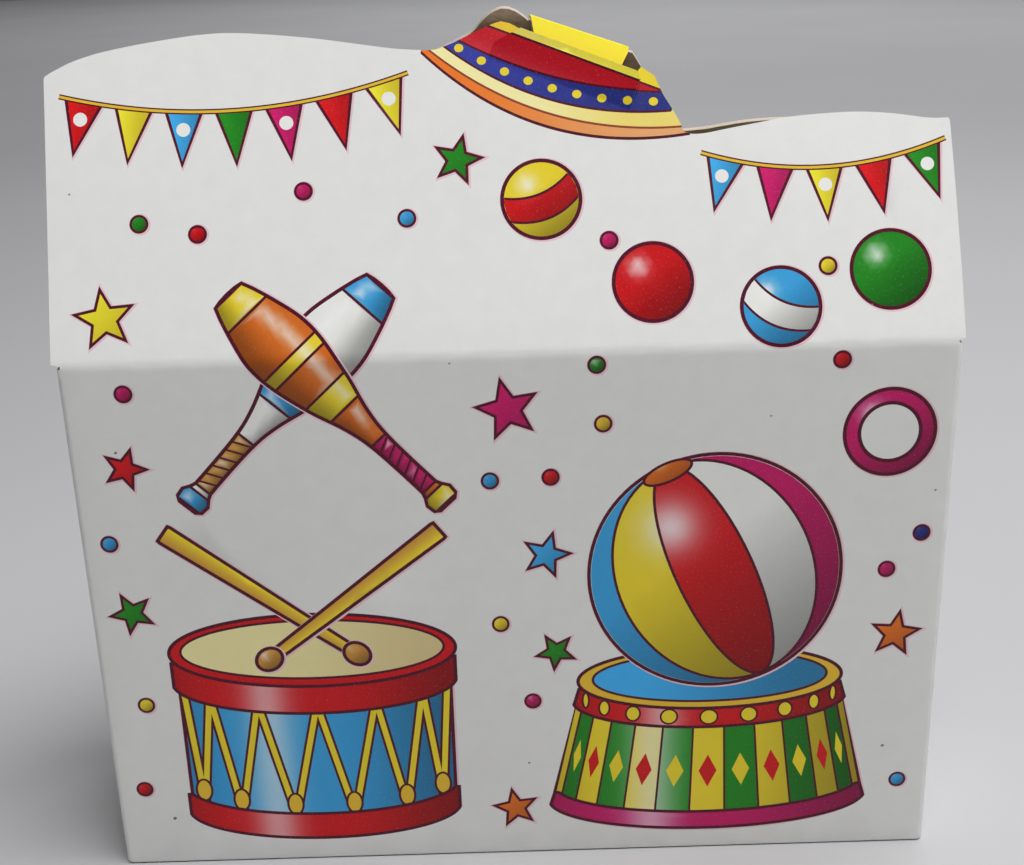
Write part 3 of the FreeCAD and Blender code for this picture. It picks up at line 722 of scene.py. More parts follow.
def wall_roof(side, bow, seed):
    """side -1 for the front, +1 for the back."""
    rng = np.random.RandomState(seed)
    ph = rng.rand(6) * 6.28

    def place(p, t):
        x, h = p[:, 0], p[:, 1]
        inset, zb = round_base(h)
        hh = np.where(h < 20.0, zb + (RB * math.pi / 2 - RB), h)
        ang = np.interp(hh, HT, AT)
        yy, zz = np.interp(hh, HT, YT), np.interp(hh, HT, ZT)
        zz = np.where(h < 20.0, zb, zz - (RB * math.pi / 2 - RB) * (1 - smooth((h - 20.0) / 30.0)))
        ax = np.abs(x)
        turn = 1 - smooth((h - (HC - 0.36)) / 0.30)       # the vertical folds end in a notch at the crease
        phi = turn * np.clip((ax - (W2 - RV)) / RV, 0, math.pi / 2)
        rho = RV - t
        rho = np.where((h < RB * math.pi / 2) & (t < 0.1), np.maximum(rho - inset, 0.17), rho)
        over = np.maximum(ax - (W2 - RV), 0)
        px = np.where(over > 0, np.sign(x) * (W2 - RV + turn * rho * np.sin(phi) + (1 - turn) * over), x)
        depth = RV - rho * np.cos(phi)                   # inward from the outer face
        bulge = bow * (1 - np.clip(ax / 44.0, 0, 1) ** 2) * np.sin(np.pi * np.clip(h / HC, 0, 1))
        bulge = bulge + 0.05 * np.sin(x * 0.11 + ph[0]) * np.sin(h * 0.09 + ph[1]) * smooth((44 - ax) / 10) \
            * smooth(h / 8) * smooth((HC - h) / 6)
        roof = smooth((h - HC - 1.0) / 12.0)
        bulge = bulge + roof * (0.10 * np.sin(x * 0.10 + ph[2]) * np.sin((h - HC) * 0.13 + ph[3])
                                - 0.16 * (x / 45.0) ** 2)
        # the crease's soft bead, a little uneven along its length
        wave = 1 + 0.5 * np.sin(x * 0.9 + ph[4]) * np.sin(x * 0.37 + ph[5])
        bead = 0.025 * wave * np.exp(-((h - CREASE) / 0.45) ** 2) * np.where(t < 0.2, -1.0, 2.4)
        off = depth - bulge - bead
        # depth is measured along the sheet's inward normal
        y = -D2 + yy + off * np.cos(ang)
        z = zz - off * np.sin(ang)
        return np.c_[px, -side * y, z]
    return place


def mirror_faces(ob):
    """Turns a sheet's faces over, for a sheet placed as a mirror image."""
    ob.data.flip_normals()


def front_outline():
    o = [(-XW, 0.0), (XW, 0.0), (XW, HC - 0.44), (44.52, HC - 0.37), (44.52, HC - 0.10), (45.15, HC + 0.14)]
    o += up([(45.06, 7.0), (44.88, 13.8), (44.68, 18.85)])
    o += up(curve(RIGHT_WAVE)[::-1])
    o += up(curve(HAT_SIDE)[::-1])[1:]
    o += up(HAT_RIGHT[::-1])[1:]
    o += up(SLOT[::-1])[1:]
    o += up(curve(HAT_LEFT)[::-1])[1:]
    o += up(curve(LEFT_WAVE)[::-1])[1:]
    o += [(-45.4, HC + 0.14), (-44.52, HC - 0.10), (-44.52, HC - 0.37), (-XW, HC - 0.44)]
    return o


def back_outline():
    o = [(-XW, 0.0), (XW, 0.0), (XW, HC - 0.44), (44.52, HC - 0.37), (44.52, HC - 0.10), (45.4, HC + 0.14)]
    o += up(curve(BACK_RIGHT)[::-1])
    o += up(curve(BACK_SIDE)[::-1])[1:]
    o += up(BACK_EAR[::-1])[1:]
    o += up(curve(BACK_DOME)[::-1])[1:]
    o += up(curve(BACK_LEFT)[::-1])[1:]
    o += [(-45.4, HC + 0.14), (-44.52, HC - 0.10), (-44.52, HC - 0.37), (-XW, HC - 0.44)]
    return o


def panel_rows():
    rows = [[(-44.3, CREASE + d), (44.3, CREASE + d)] for d in np.arange(-0.78, 0.79, 0.12)]
    rows += [[(-XW, RB * h), (XW, RB * h)] for h in (0.25, 0.52, 0.84, 1.2, 1.57)]
    for s in (-1, 1):
        rows += [[(s * (W2 - RV + RV * a), 0.0), (s * (W2 - RV + RV * a), HC - 0.46)] for a in (0.0, 0.3, 0.6, 0.9, 1.2)]
    return rows


# ------------------------------------------------------------------ materials
def new_mat(name):
    m = bpy.data.materials.new(name)
    m.use_nodes = True
    nt = m.node_tree
    nt.nodes.clear()
    out = nt.nodes.new("ShaderNodeOutputMaterial")
    bsdf = nt.nodes.new("ShaderNodeBsdfPrincipled")
    nt.links.new(bsdf.outputs[0], out.inputs[0])
    return m, nt, bsdf


def node(nt, kind, **kw):
    n = nt.nodes.new(kind)
    for k, v in kw.items():
        if k == "ins":
            for i, x in v.items():
                n.inputs[i].default_value = x
        else:
            setattr(n, k, v)
    return n


def noise(nt, vec, scale, detail=3.0, rough=0.55, stretch=None, distort=0.0):
    src = vec
    if stretch is not None:
        mp = node(nt, "ShaderNodeMapping")
        mp.inputs["Scale"].default_value = stretch
        nt.links.new(vec, mp.inputs["Vector"])
        src = mp.outputs[0]
    n = node(nt, "ShaderNodeTexNoise")
    n.inputs["Scale"].default_value = scale
    n.inputs["Detail"].default_value = detail
    n.inputs["Roughness"].default_value = rough
    n.inputs["Distortion"].default_value = distort
    nt.links.new(src, n.inputs["Vector"])
    return n.outputs["Fac"]


def remap(nt, fac, a, b, lo, hi):
    n = node(nt, "ShaderNodeMapRange")
    n.inputs["From Min"].default_value, n.inputs["From Max"].default_value = a, b
    n.inputs["To Min"].default_value, n.inputs["To Max"].default_value = lo, hi
    nt.links.new(fac, n.inputs["Value"])
    return n.outputs["Result"]


def math_(nt, op, a, b=None):
    n = node(nt, "ShaderNodeMath", operation=op)
    for i, x in enumerate((a, b)):
        if x is None:
            continue
        if isinstance(x, (int, float)):
            n.inputs[i].default_value = x
        else:
            nt.links.new(x, n.inputs[i])
    return n.outputs[0]


def mix(nt, fac, a, b, kind="MIX"):
    n = node(nt, "ShaderNodeMix", data_type="RGBA", blend_type=kind)
    for i, x in ((0, fac), (6, a), (7, b)):
        if isinstance(x, (int, float)):
            n.inputs[i].default_value = x
        elif isinstance(x, (tuple, list, np.ndarray)):
            n.inputs[i].default_value = (*[float(q) for q in x][:3], 1.0)
        else:
            nt.links.new(x, n.inputs[i])
    return n.outputs[2]


def bump(nt, bsdf, height, strength, dist, extra=None):
    b = node(nt, "ShaderNodeBump")
    b.inputs["Strength"].default_value = strength
    b.inputs["Distance"].default_value = dist
    nt.links.new(height, b.inputs["Height"])
    if extra is not None:
        nt.links.new(extra, b.inputs["Normal"])
    nt.links.new(b.outputs[0], bsdf.inputs["Normal"])
    return b.outputs[0]


def attr(nt, name):
    return node(nt, "ShaderNodeAttribute", attribute_name=name)


def object_coords(nt):
    return node(nt, "ShaderNodeTexCoord").outputs["Object"]


def mat_print():
    m, nt, b = new_mat("printed_board")
    ink = attr(nt, "Ink")
    vec = attr(nt, "Flat").outputs["Vector"]
    mott = noise(nt, vec, 420.0, 4.0, 0.6)
    fine = noise(nt, vec, 5200.0, 2.0, 0.6)
    wide = noise(nt, vec, 38.0, 2.0, 0.5)
    k = math_(nt, "MULTIPLY", remap(nt, mott, 0.3, 0.7, 0.965, 1.0), remap(nt, fine, 0.25, 0.75, 0.975, 1.0))
    k = math_(nt, "MULTIPLY", k, remap(nt, wide, 0.3, 0.7, 0.985, 1.0))
    col = mix(nt, 1.0, ink.outputs["Color"], k, "MULTIPLY")
    # ink lies a little unevenly on the coat
    pick = remap(nt, noise(nt, vec, 4200.0, 2.0, 0.7), 0.60, 0.82, 0.0, 0.16)
    col = mix(nt, math_(nt, "MULTIPLY", pick, ink.outputs["Alpha"]), col, linear((236, 228, 222)))
    nt.links.new(col, b.inputs["Base Color"])
    r0 = remap(nt, ink.outputs["Alpha"], 0.0, 1.0, 0.47, 0.33)
    rough = math_(nt, "ADD", r0, remap(nt, mott, 0.3, 0.7, -0.04, 0.05))
    nt.links.new(rough, b.inputs["Roughness"])
    b.inputs["IOR"].default_value = 1.46
    b.inputs["Specular IOR Level"].default_value = 0.26
    h = math_(nt, "ADD", math_(nt, "MULTIPLY", noise(nt, vec, 1500.0, 4.0, 0.6), 0.7), math_(nt, "MULTIPLY", fine, 0.4))
    bump(nt, b, h, 0.16, 0.00006)
    return m


def mat_inner():
    m, nt, b = new_mat("bare_board")
    vec = attr(nt, "Flat").outputs["Vector"]
    fib = noise(nt, vec, 900.0, 5.0, 0.7, (1.0, 3.4, 1.0), 0.6)
    big = noise(nt, vec, 120.0, 3.0, 0.6)
    fleck = noise(nt, vec, 3600.0, 1.0, 0.5)
    c = mix(nt, remap(nt, fib, 0.3, 0.7, 0.0, 1.0), linear((172, 150, 126)), linear((210, 189, 164)))
    c = mix(nt, remap(nt, big, 0.3, 0.7, 0.0, 0.35), c, linear((186, 163, 136)))
    c = mix(nt, remap(nt, fleck, 0.66, 0.76, 0.0, 0.7), c, linear((108, 95, 80)))
    nt.links.new(c, b.inputs["Base Color"])
    nt.links.new(remap(nt, fib, 0.3, 0.7, 0.78, 0.92), b.inputs["Roughness"])
    bump(nt, b, math_(nt, "ADD", fib, math_(nt, "MULTIPLY", fleck, 0.4)), 0.35, 0.00008)
    return m


def mat_edge():
    m, nt, b = new_mat("cut_edge")
    ink = attr(nt, "Ink")
    vec = object_coords(nt)
    f = noise(nt, vec, 4200.0, 3.0, 0.7)
    c = mix(nt, 1.0, ink.outputs["Color"], remap(nt, f, 0.3, 0.7, 0.82, 1.08), "MULTIPLY")
    nt.links.new(c, b.inputs["Base Color"])
    nt.links.new(remap(nt, f, 0.3, 0.7, 0.7, 0.9), b.inputs["Roughness"])
    bump(nt, b, f, 0.3, 0.00006)
    return m


PRINT, INNER, EDGE = mat_print(), mat_inner(), mat_edge()
BOARD_MATS = (PRINT, INNER, EDGE)

# ------------------------------------------------------------------ carton
FRONT_ART, BACK_ART = front_art(), back_art()


front_place = wall_roof(-1, 0.20, 3)
front = sheet("front_panel", front_outline(), panel_rows(), FRONT_ART, front_place, BOARD_MATS, 0.85)

TP1, TP2 = np.array([3.12, 34.03 + HC]), np.array([13.172, 30.183 + HC])
QE = (TP2 - TP1) / np.linalg.norm(TP2 - TP1)
QN = np.array([-QE[1], QE[0]])
FOLD = math.radians(118.77)
RF = 0.24
QT = RF * math.tan(FOLD / 2)           # fold starts this far from the sharp crease
back_place = wall_roof(1, 0.20, 5)
back = sheet("back_panel", back_outline(), panel_rows(), BACK_ART, back_place, BOARD_MATS, 0.85)
mirror_faces(back)


# side walls with their dust flaps
Q90 = RV * math.pi / 2


def side_place(sgn):
    def place(p, t):
        s, h = p[:, 0], p[:, 1]
        inset, zb = round_base(h)
        rho = RV - t
        low = h < RB * math.pi / 2
        d_in = np.where(low & (t < 0.1), np.minimum(inset, RV - 0.17), t)
        zz = np.where(h < 20, zb, h - (RB * math.pi / 2 - RB) * (1 - smooth((h - 20) / 20)))
        a = np.clip((h - (HC - RV)) / RV, 0, math.pi / 2)
        bend = h > HC - RV
        flap = np.maximum(h - (HC - RV) - Q90, 0)
        bow = 0.10 * (1 - np.clip(np.abs(s) / 12.6, 0, 1) ** 2) * np.sin(np.pi * np.clip(h / HC, 0, 1))
        sag = 0.0006 * flap ** 2
        x = np.where(bend, (W2 - RV) + rho * np.cos(a) - flap, W2 - d_in + bow)
        z = np.where(bend, HC - RV + rho * np.sin(a) - sag, zz)
        return np.c_[sgn * x, s * sgn, z]
    return place


def side_outline():
    def hh(d):
        return HC - RV + Q90 + d - RV
    half = [(12.8, 0.0), (12.8, HC - 0.46), (12.45, HC - 0.34), (12.05, hh(0.75)), (11.2, hh(2.6)), (4.9, hh(17.4)),
            (4.2, hh(18.9)), (3.4, hh(19.8)), (2.6, hh(20.0))]
    return half + [(-x, y) for x, y in half[::-1]]


def side_rows():
    rows = [[(-12.8, RB * h), (12.8, RB * h)] for h in (0.25, 0.52, 0.84, 1.2, 1.57)]
    rows += [[(-11.9, HC - RV + Q90 * k / 8), (11.9, HC - RV + Q90 * k / 8)] for k in range(9)]
    return rows


def side_art():
    A = Art()
    top = HC - RV + Q90 * 0.625
    # painted shade over the dust flaps: a grey below the board white on their lit outer face
    A.fill([(-14, top), (14, top), (14, HC + 26), (-14, HC + 26)], FLAP_PAINTED_SHADE)
    draw_orb(A, -1.0, 26.0, 4.4, RED, YEL, 18)
    draw_star(A, 5.6, 40.6, 2.6, 10, SKY)
    draw_star(A, -6.4, 12.6, 2.4, -14, ORG)
    draw_star(A, -5.6, 49.4, 2.0, 22, YEL)
    for x, y, c in ((-7.0, 37.6, GREEN), (7.4, 16.8, MAG), (6.6, 52.6, RED), (-8.0, 22.6, SKY), (3.4, 7.4, GREEN), (0.4, 46.6, MAG)):
        A.shape(ell(x, y, 0.85, 0.85, n=22), orb(c, x, y, 0.85), w=0.26)
    specks(A, ((4.0, 20.0, .13, 104), (-6.2, 44.0, .15, 98), (8.8, 51.2, .10, 112)))
    return A


SIDE_ART = side_art()
left = sheet("left_panel", side_outline(), side_rows(), SIDE_ART, side_place(-1), BOARD_MATS, 1.1)
right = sheet("right_panel", side_outline(), side_rows(), SIDE_ART, side_place(1), BOARD_MATS, 1.1)

# tongue cut in the front panel
BEND = math.radians(14.0)
YB = np.arange(0.0, 6.0, 0.01)
BA = BEND * smooth(YB / 0.4)
BC, BS = np.concatenate([[0], np.cumsum(np.cos(BA[:-1]) * 0.01)]), np.concatenate([[0], np.cumsum(np.sin(BA[:-1]) * 0.01)])
NF = np.array([0.0, -CL, SL])          # outward from the front roof


def tongue_place(p, t):
    q = p - TC
    x, y = q @ TE, np.maximum(q @ TN, 0.0)
    ang = np.interp(y, YB, BA)
    a, b = np.interp(y, YB, BC), np.interp(y, YB, BS)
    foot = TC + np.outer(x, TE)
    base = front_place(foot, np.zeros(len(p)))
    up3 = np.array([TN[0], TN[1] * SL, TN[1] * CL])
    pos = base + np.outer(a, up3) + np.outer(b, NF)
    nrm = np.outer(np.cos(ang), NF) - np.outer(np.sin(ang), up3)
    return pos - nrm * t[:, None]


def tl(x, y):
    return tuple(TC + TE * x + TN * y)


TONGUE_ART = Art()
# painted light: on the tongue the crown's yellow strip is printed lighter than on the panel beside it, making up for
# the tongue leaning out of the light
TONGUE_ART.ops = FRONT_ART.ops + [(np.array([tl(-1, 3.28), tl(TL + 1, 3.28), tl(TL + 1, 5), tl(-1, 5)]),
                                   ramp((255, 238, 118), (255, 242, 84), tl(1, 3), tl(9, 3)))]
tongue = sheet("hat_tongue_panel",
               [tl(0.0, 0.0), tl(TL, 0.0), tl(TL - 0.02, 3.4), tl(TL - 0.64, 3.99), tl(2.05, 3.99), tl(0.02, 1.82)],
               [[tl(0.02, y), tl(TL - 0.04, y)] for y in (0.05, 0.1, 0.16, 0.22, 0.28, 0.34, 0.4, 0.6, 0.8)],
               TONGUE_ART, tongue_place, BOARD_MATS, 0.6, 0.8)

# lock tab folded forward from the back panel's crown
P1 = np.array([3.12, D2 - 34.03 * SL, HC + 34.03 * CL])
P2 = np.array([13.172, D2 - 30.183 * SL, HC + 30.183 * CL])
TA = (P2 - P1) / np.linalg.norm(P2 - P1)
CLEN = float(np.linalg.norm(P2 - P1))
BUP = np.array([QN[0], -QN[1] * SL, QN[1] * CL])          # up the back panel, square to the crease
NB = np.array([0.0, CL, SL])                             # outward from the back roof


def tab_place(p, t):
    """p: (along the crease from its high end, developed distance past the start of the fold)."""
    x, q = p[:, 0], p[:, 1]
    fold = FOLD + np.radians(4.6 - 3.5 * x / CLEN)        # the short end dips a little more
    arc_len = RF * fold
    a = np.clip(q / RF, 0, fold)
    rest = np.maximum(q - arc_len, 0)
    thin = RF - 0.05 + 0.4 * (1 - smooth((q + 0.15) / 0.15)) + 0.25 * smooth((q - arc_len) / 0.2)
    tt = np.where(q < arc_len + 0.2, np.minimum(t, thin), t)
    centre = P1 - BUP * QT - NB * RF
    rad = RF - tt
    tang = np.outer(np.cos(a), BUP) - np.outer(np.sin(a), NB)
    nrm = np.outer(np.cos(a), NB) + np.outer(np.sin(a), BUP)
    curl = 0.02 * rest ** 2
    pos = centre + np.outer(x, TA) + nrm * (rad + curl)[:, None] + tang * rest[:, None]
    return pos + np.outer(np.minimum(q, 0.0), BUP)


def tip(x):
    """Reach of the tab from its crease, x from the crease's high end."""
    return 2.61 + (5.45 - 2.61) * x / CLEN - 0.12


def dev(d):
    return RF * FOLD + d - QT


tab_outline = [(0.0, -0.16), (CLEN, -0.16), (CLEN, dev(1.0)), (CLEN - 1.0, dev(tip(CLEN - 1.0) - 0.5)),
               (CLEN - 1.7, dev(tip(CLEN - 1.7))), (1.2, dev(tip(1.2))), (0.72, dev(tip(0.6) - 0.4)), (0.2, dev(0.7)), (0.02, dev(0.35))]
TAB_ART = Art()
# painted shade: the tab's yellow darkens from the fold towards the tip, and the start of the fold's roll is a darker
# yellow
TAB_ART.fill([(-1, -1), (12, -1), (12, 8), (-1, 8)], ramp((238, 222, 34), (226, 200, 14), (0, 0.3), (0, 4.0)))
TAB_ART.fill([(-1, -1), (12, -1), (12, 0.24), (-1, 0.24)], (232, 208, 40))
tab_print = BOARD_MATS[0].copy()                          # solid ink with less varnish
tab_print.name = "printed_tab"
for n_ in tab_print.node_tree.nodes:
    if n_.type == "BSDF_PRINCIPLED":
        n_.inputs["Specular IOR Level"].default_value = 0.1
tab = sheet("lock_tab_panel", tab_outline, [[(0.02, q), (CLEN - 0.02, q)] for q in np.arange(-0.09, 0.6, 0.045)],
            TAB_ART, tab_place, [tab_print] + list(BOARD_MATS[1:]), 0.5, 0.7)
mirror_faces(tab)

for ob, nodes in ((front, ("front_wall", "front_roof")), (back, ("back_wall", "back_roof")),
                  (left, ("left_wall", "left_dust_flap")), (right, ("right_wall", "right_dust_flap")),
                  (tongue, ("hat_tongue",)), (tab, ("lock_tab",))):
    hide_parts(*nodes)


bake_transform(front)
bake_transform(back)
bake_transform(left)
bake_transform(right)
tb = front_place((TC + TE * TL / 2)[None], np.zeros(1))[0]
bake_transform(tongue)
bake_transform(tab)

# ------------------------------------------------------------------ spring, sleeve and doll: mesh helpers
def mesh_piece(name, verts, faces, mats, mat=None, flat=None, tone=None, sharp=45.0):
    """A piece from points in mm."""
    me = bpy.data.meshes.new(name)
    me.from_pydata((np.asarray(verts, float) * MM).tolist(), [], [tuple(int(i) for i in f) for f in faces])
    if mat is not None:
        me.polygons.foreach_set("material_index", np.asarray(mat, np.int32))
    if flat is not None:
        a = me.attributes.new("Flat", "FLOAT_VECTOR", "POINT")
        fl = np.zeros((len(verts), 3), np.float32)
        fl[:, :2] = flat
        a.data.foreach_set("vector", (fl * MM).ravel())
    if tone is not None:
        a = me.attributes.new("Tone", "FLOAT", "POINT")
        a.data.foreach_set("value", np.asarray(tone, np.float32))
    for m in mats:
        me.materials.append(m)
    me.polygons.foreach_set("use_smooth", np.ones(len(me.polygons), bool))
    me.set_sharp_from_angle(angle=math.radians(sharp))
    ob = bpy.data.objects.new(name, me)
    bpy.context.scene.collection.objects.link(ob)
    return ob


def grid_faces(rows, cols, wrap=True, start=0):
    out = []
    for i in range(rows - 1):
        for j in range(cols if wrap else cols - 1):
            k = (j + 1) % cols
            out.append((start + i * cols + j, start + i * cols + k, start + (i + 1) * cols + k, start + (i + 1) * cols + j))
    return out


def lathe(profile, cols, shape=None):
    """Points of a closed (radius, height) outline swung round +Z; shape(r, z, angle, row) may change r and z."""
    p = np.asarray(profile, float)
    th = np.linspace(0, 2 * math.pi, cols, endpoint=False)
    r, z = np.repeat(p[:, :1], cols, 1), np.repeat(p[:, 1:2], cols, 1)
    t = np.repeat(th[None], len(p), 0)
    if shape is not None:
        r, z = shape(r, z, t, np.repeat(np.arange(len(p))[:, None], cols, 1))
    return np.stack([r * np.cos(t), r * np.sin(t), z], -1).reshape(-1, 3)


def tube(path, radius, sides, ply=0.0, turn=0.0, taper=None, closed=False):
    """Points and faces of a round or plied cord along path."""
    p = np.asarray(path, float)
    n = len(p)
    d = np.gradient(p, axis=0)
    d /= np.maximum(np.linalg.norm(d, axis=1), 1e-9)[:, None]
    ref = np.array([0.0, 0.0, 1.0]) if abs(d[0][2]) < 0.8 else np.array([1.0, 0.0, 0.0])
    e1 = np.cross(ref, d[0])
    frames = []
    for i in range(n):
        e1 = e1 - d[i] * (e1 @ d[i])
        e1 /= max(np.linalg.norm(e1), 1e-9)
        frames.append((e1.copy(), np.cross(d[i], e1)))
    s = np.concatenate([[0], np.cumsum(np.linalg.norm(np.diff(p, axis=0), axis=1))])
    ph = np.linspace(0, 2 * math.pi, sides, endpoint=False)
    pts = []
    for i in range(n):
        r = radius * (1.0 if taper is None else taper[i])
        rr = r * (1 + ply * np.cos(2 * ph - turn * s[i]))
        pts.append(p[i] + np.outer(rr * np.cos(ph), frames[i][0]) + np.outer(rr * np.sin(ph), frames[i][1]))
    pts = np.vstack(pts + [p[:1], p[-1:]])
    faces = grid_faces(n, sides)
    a, b = n * sides, n * sides + 1
    for j in range(sides):
        k = (j + 1) % sides
        faces.append((a, k, j))
        faces.append((b, (n - 1) * sides + j, (n - 1) * sides + k))
    return pts, faces


def gather(parts):
    """Joins (points, faces) pairs; also gives each part's number at its points and faces."""
    vs, fs, iv, jf, base = [], [], [], [], 0
    for i, (v, f) in enumerate(parts):
        vs.append(v)
        fs += [tuple(q + base for q in t) for t in f]
        iv += [i] * len(v)
        jf += [i] * len(f)
        base += len(v)
    return np.vstack(vs), fs, np.array(iv), np.array(jf)


# ------------------------------------------------------------------ materials of the doll and the loose board pieces
def split(nt, sock):
    n = node(nt, "ShaderNodeSeparateXYZ")
    nt.links.new(sock, n.inputs[0])
    return n.outputs


def swing(nt, sock, k):
    return math_(nt, "SINE", math_(nt, "MULTIPLY", sock, k))


def mat_cloth(name, colour, dark, threads, pitch, stripes=None, other=None, around=True):
    """Plain weave. threads: how many run up and down round the piece; pitch: the spacing of those across."""
    m, nt, b = new_mat(name)
    vec = object_coords(nt)
    flat = split(nt, attr(nt, "Flat").outputs["Vector"])
    if around:
        x = split(nt, vec)
        u = math_(nt, "ARCTAN2", x[0], x[1])
        over = swing(nt, u, float(threads))
    else:
        u = flat[0]
        over = swing(nt, u, 2 * math.pi / (pitch * MM))
    across = swing(nt, flat[1], 2 * math.pi / (pitch * MM))
    weave = math_(nt, "MULTIPLY", over, across)
    cloud = noise(nt, vec, 150.0, 4.0, 0.6)
    slub = noise(nt, vec, 1500.0, 3.0, 0.65, (1.0, 1.0, 0.25))
    base, low = linear(colour), linear(dark)
    if stripes is None:
        c = mix(nt, remap(nt, weave, -0.8, 0.8, 0.0, 1.0), low, base)
    else:
        s = remap(nt, swing(nt, u, float(stripes)), -0.08, 0.08, 0.0, 1.0)
        light = mix(nt, s, base, linear(other))
        c = mix(nt, 1.0, light, remap(nt, weave, -0.8, 0.8, 0.74, 1.0), "MULTIPLY")
    c = mix(nt, 1.0, c, math_(nt, "MULTIPLY", remap(nt, cloud, 0.3, 0.7, 0.86, 1.04), remap(nt, slub, 0.3, 0.7, 0.9, 1.05)),
            "MULTIPLY")
    nt.links.new(c, b.inputs["Base Color"])
    nt.links.new(remap(nt, slub, 0.3, 0.7, 0.78, 0.94), b.inputs["Roughness"])
    b.inputs["Sheen Weight"].default_value = 0.22
    b.inputs["Sheen Roughness"].default_value = 0.45
    b.inputs["Specular IOR Level"].default_value = 0.25
    bump(nt, b, math_(nt, "ADD", weave, math_(nt, "MULTIPLY", slub, 0.8)), 0.45, 0.00006)
    return m


def mat_felt(name, colour, dark):
    m, nt, b = new_mat(name)
    vec = object_coords(nt)
    fuzz = noise(nt, vec, 2300.0, 5.0, 0.75, None, 1.2)
    matted = noise(nt, vec, 420.0, 4.0, 0.65, None, 0.8)
    c = mix(nt, remap(nt, fuzz, 0.3, 0.7, 0.0, 1.0), linear(dark), linear(colour))
    c = mix(nt, 1.0, c, remap(nt, matted, 0.3, 0.7, 0.82, 1.06), "MULTIPLY")
    nt.links.new(c, b.inputs["Base Color"])
    nt.links.new(remap(nt, fuzz, 0.3, 0.7, 0.86, 0.98), b.inputs["Roughness"])
    b.inputs["Sheen Weight"].default_value = 0.24
    b.inputs["Sheen Roughness"].default_value = 0.5
    b.inputs["Sheen Tint"].default_value = (*[float(q) for q in linear(tint(colour, 1.1))], 1.0)
    b.inputs["Specular IOR Level"].default_value = 0.2
    bump(nt, b, math_(nt, "ADD", fuzz, math_(nt, "MULTIPLY", matted, 0.8)), 0.6, 0.00012)
    return m


def mat_yarn(name, colour, dark):
    m, nt, b = new_mat(name)
    vec = object_coords(nt)
    tone = attr(nt, "Tone").outputs["Fac"]
    hairs = noise(nt, vec, 3000.0, 4.0, 0.7, None, 0.6)
    k = math_(nt, "ADD", math_(nt, "MULTIPLY", tone, 0.55), remap(nt, hairs, 0.3, 0.7, 0.0, 0.5))
    nt.links.new(mix(nt, k, linear(dark), linear(colour)), b.inputs["Base Color"])
    nt.links.new(remap(nt, hairs, 0.3, 0.7, 0.8, 0.97), b.inputs["Roughness"])
    b.inputs["Sheen Weight"].default_value = 0.3
    b.inputs["Sheen Roughness"].default_value = 0.4
    b.inputs["Sheen Tint"].default_value = (*[float(q) for q in linear(tint(colour, 1.1))], 1.0)
    b.inputs["Specular IOR Level"].default_value = 0.2
    bump(nt, b, hairs, 0.5, 0.0001)
    return m


def mat_bead(name, colour, dark, rough=0.14):
    m, nt, b = new_mat(name)
    vec = object_coords(nt)
    cloud = noise(nt, vec, 700.0, 3.0, 0.6)
    fine = noise(nt, vec, 5200.0, 2.0, 0.6)
    nt.links.new(mix(nt, remap(nt, cloud, 0.35, 0.65, 0.0, 1.0), linear(dark), linear(colour)), b.inputs["Base Color"])
    nt.links.new(remap(nt, fine, 0.35, 0.75, rough, rough + 0.14), b.inputs["Roughness"])
    b.inputs["Coat Weight"].default_value = 0.5
    b.inputs["Coat Roughness"].default_value = 0.08
    bump(nt, b, cloud, 0.12, 0.00008)
    return m


def mat_wood(name, colour, dark, along=(1.0, 9.0, 9.0)):
    m, nt, b = new_mat(name)
    vec = object_coords(nt)
    grain = noise(nt, vec, 190.0, 5.0, 0.6, along, 1.4)
    pores = noise(nt, vec, 900.0, 3.0, 0.7, (0.6, 8.0, 8.0))
    c = mix(nt, remap(nt, grain, 0.34, 0.66, 0.0, 1.0), linear(dark), linear(colour))
    c = mix(nt, remap(nt, pores, 0.58, 0.72, 0.0, 0.5), c, linear(tint(dark, 0.72)))
    nt.links.new(c, b.inputs["Base Color"])
    nt.links.new(remap(nt, grain, 0.3, 0.7, 0.5, 0.72), b.inputs["Roughness"])
    bump(nt, b, math_(nt, "ADD", grain, math_(nt, "MULTIPLY", pores, 0.6)), 0.3, 0.00008)
    return m


def mat_steel():
    m, nt, b = new_mat("drawn_steel")
    vec = object_coords(nt)
    drawn = noise(nt, vec, 1600.0, 3.0, 0.6, (1.0, 1.0, 5.0))
    age = noise(nt, vec, 240.0, 4.0, 0.6)
    nt.links.new(mix(nt, remap(nt, age, 0.35, 0.7, 0.0, 1.0), linear((196, 195, 192)), linear((158, 152, 144))),
                 b.inputs["Base Color"])
    nt.links.new(math_(nt, "ADD", remap(nt, drawn, 0.3, 0.7, 0.2, 0.34), remap(nt, age, 0.4, 0.75, 0.0, 0.16)),
                 b.inputs["Roughness"])
    b.inputs["Metallic"].default_value = 1.0
    bump(nt, b, drawn, 0.15, 0.00004)
    return m


def mat_paint():
    """Brushed paint on turned wood, colours from the mesh."""
    m, nt, b = new_mat("painted_wood")
    ink = attr(nt, "Ink")
    vec = object_coords(nt)
    brush = noise(nt, vec, 380.0, 4.0, 0.6, (1.0, 1.0, 3.2), 0.5)
    fine = noise(nt, vec, 3600.0, 2.0, 0.6)
    k = math_(nt, "MULTIPLY", remap(nt, brush, 0.3, 0.7, 0.93, 1.03), remap(nt, fine, 0.3, 0.7, 0.98, 1.01))
    nt.links.new(mix(nt, 1.0, ink.outputs["Color"], k, "MULTIPLY"), b.inputs["Base Color"])
    nt.links.new(remap(nt, brush, 0.3, 0.7, 0.3, 0.44), b.inputs["Roughness"])
    b.inputs["Coat Weight"].default_value = 0.25
    b.inputs["Coat Roughness"].default_value = 0.2
    bump(nt, b, math_(nt, "ADD", brush, math_(nt, "MULTIPLY", fine, 0.3)), 0.16, 0.00008)
    return m


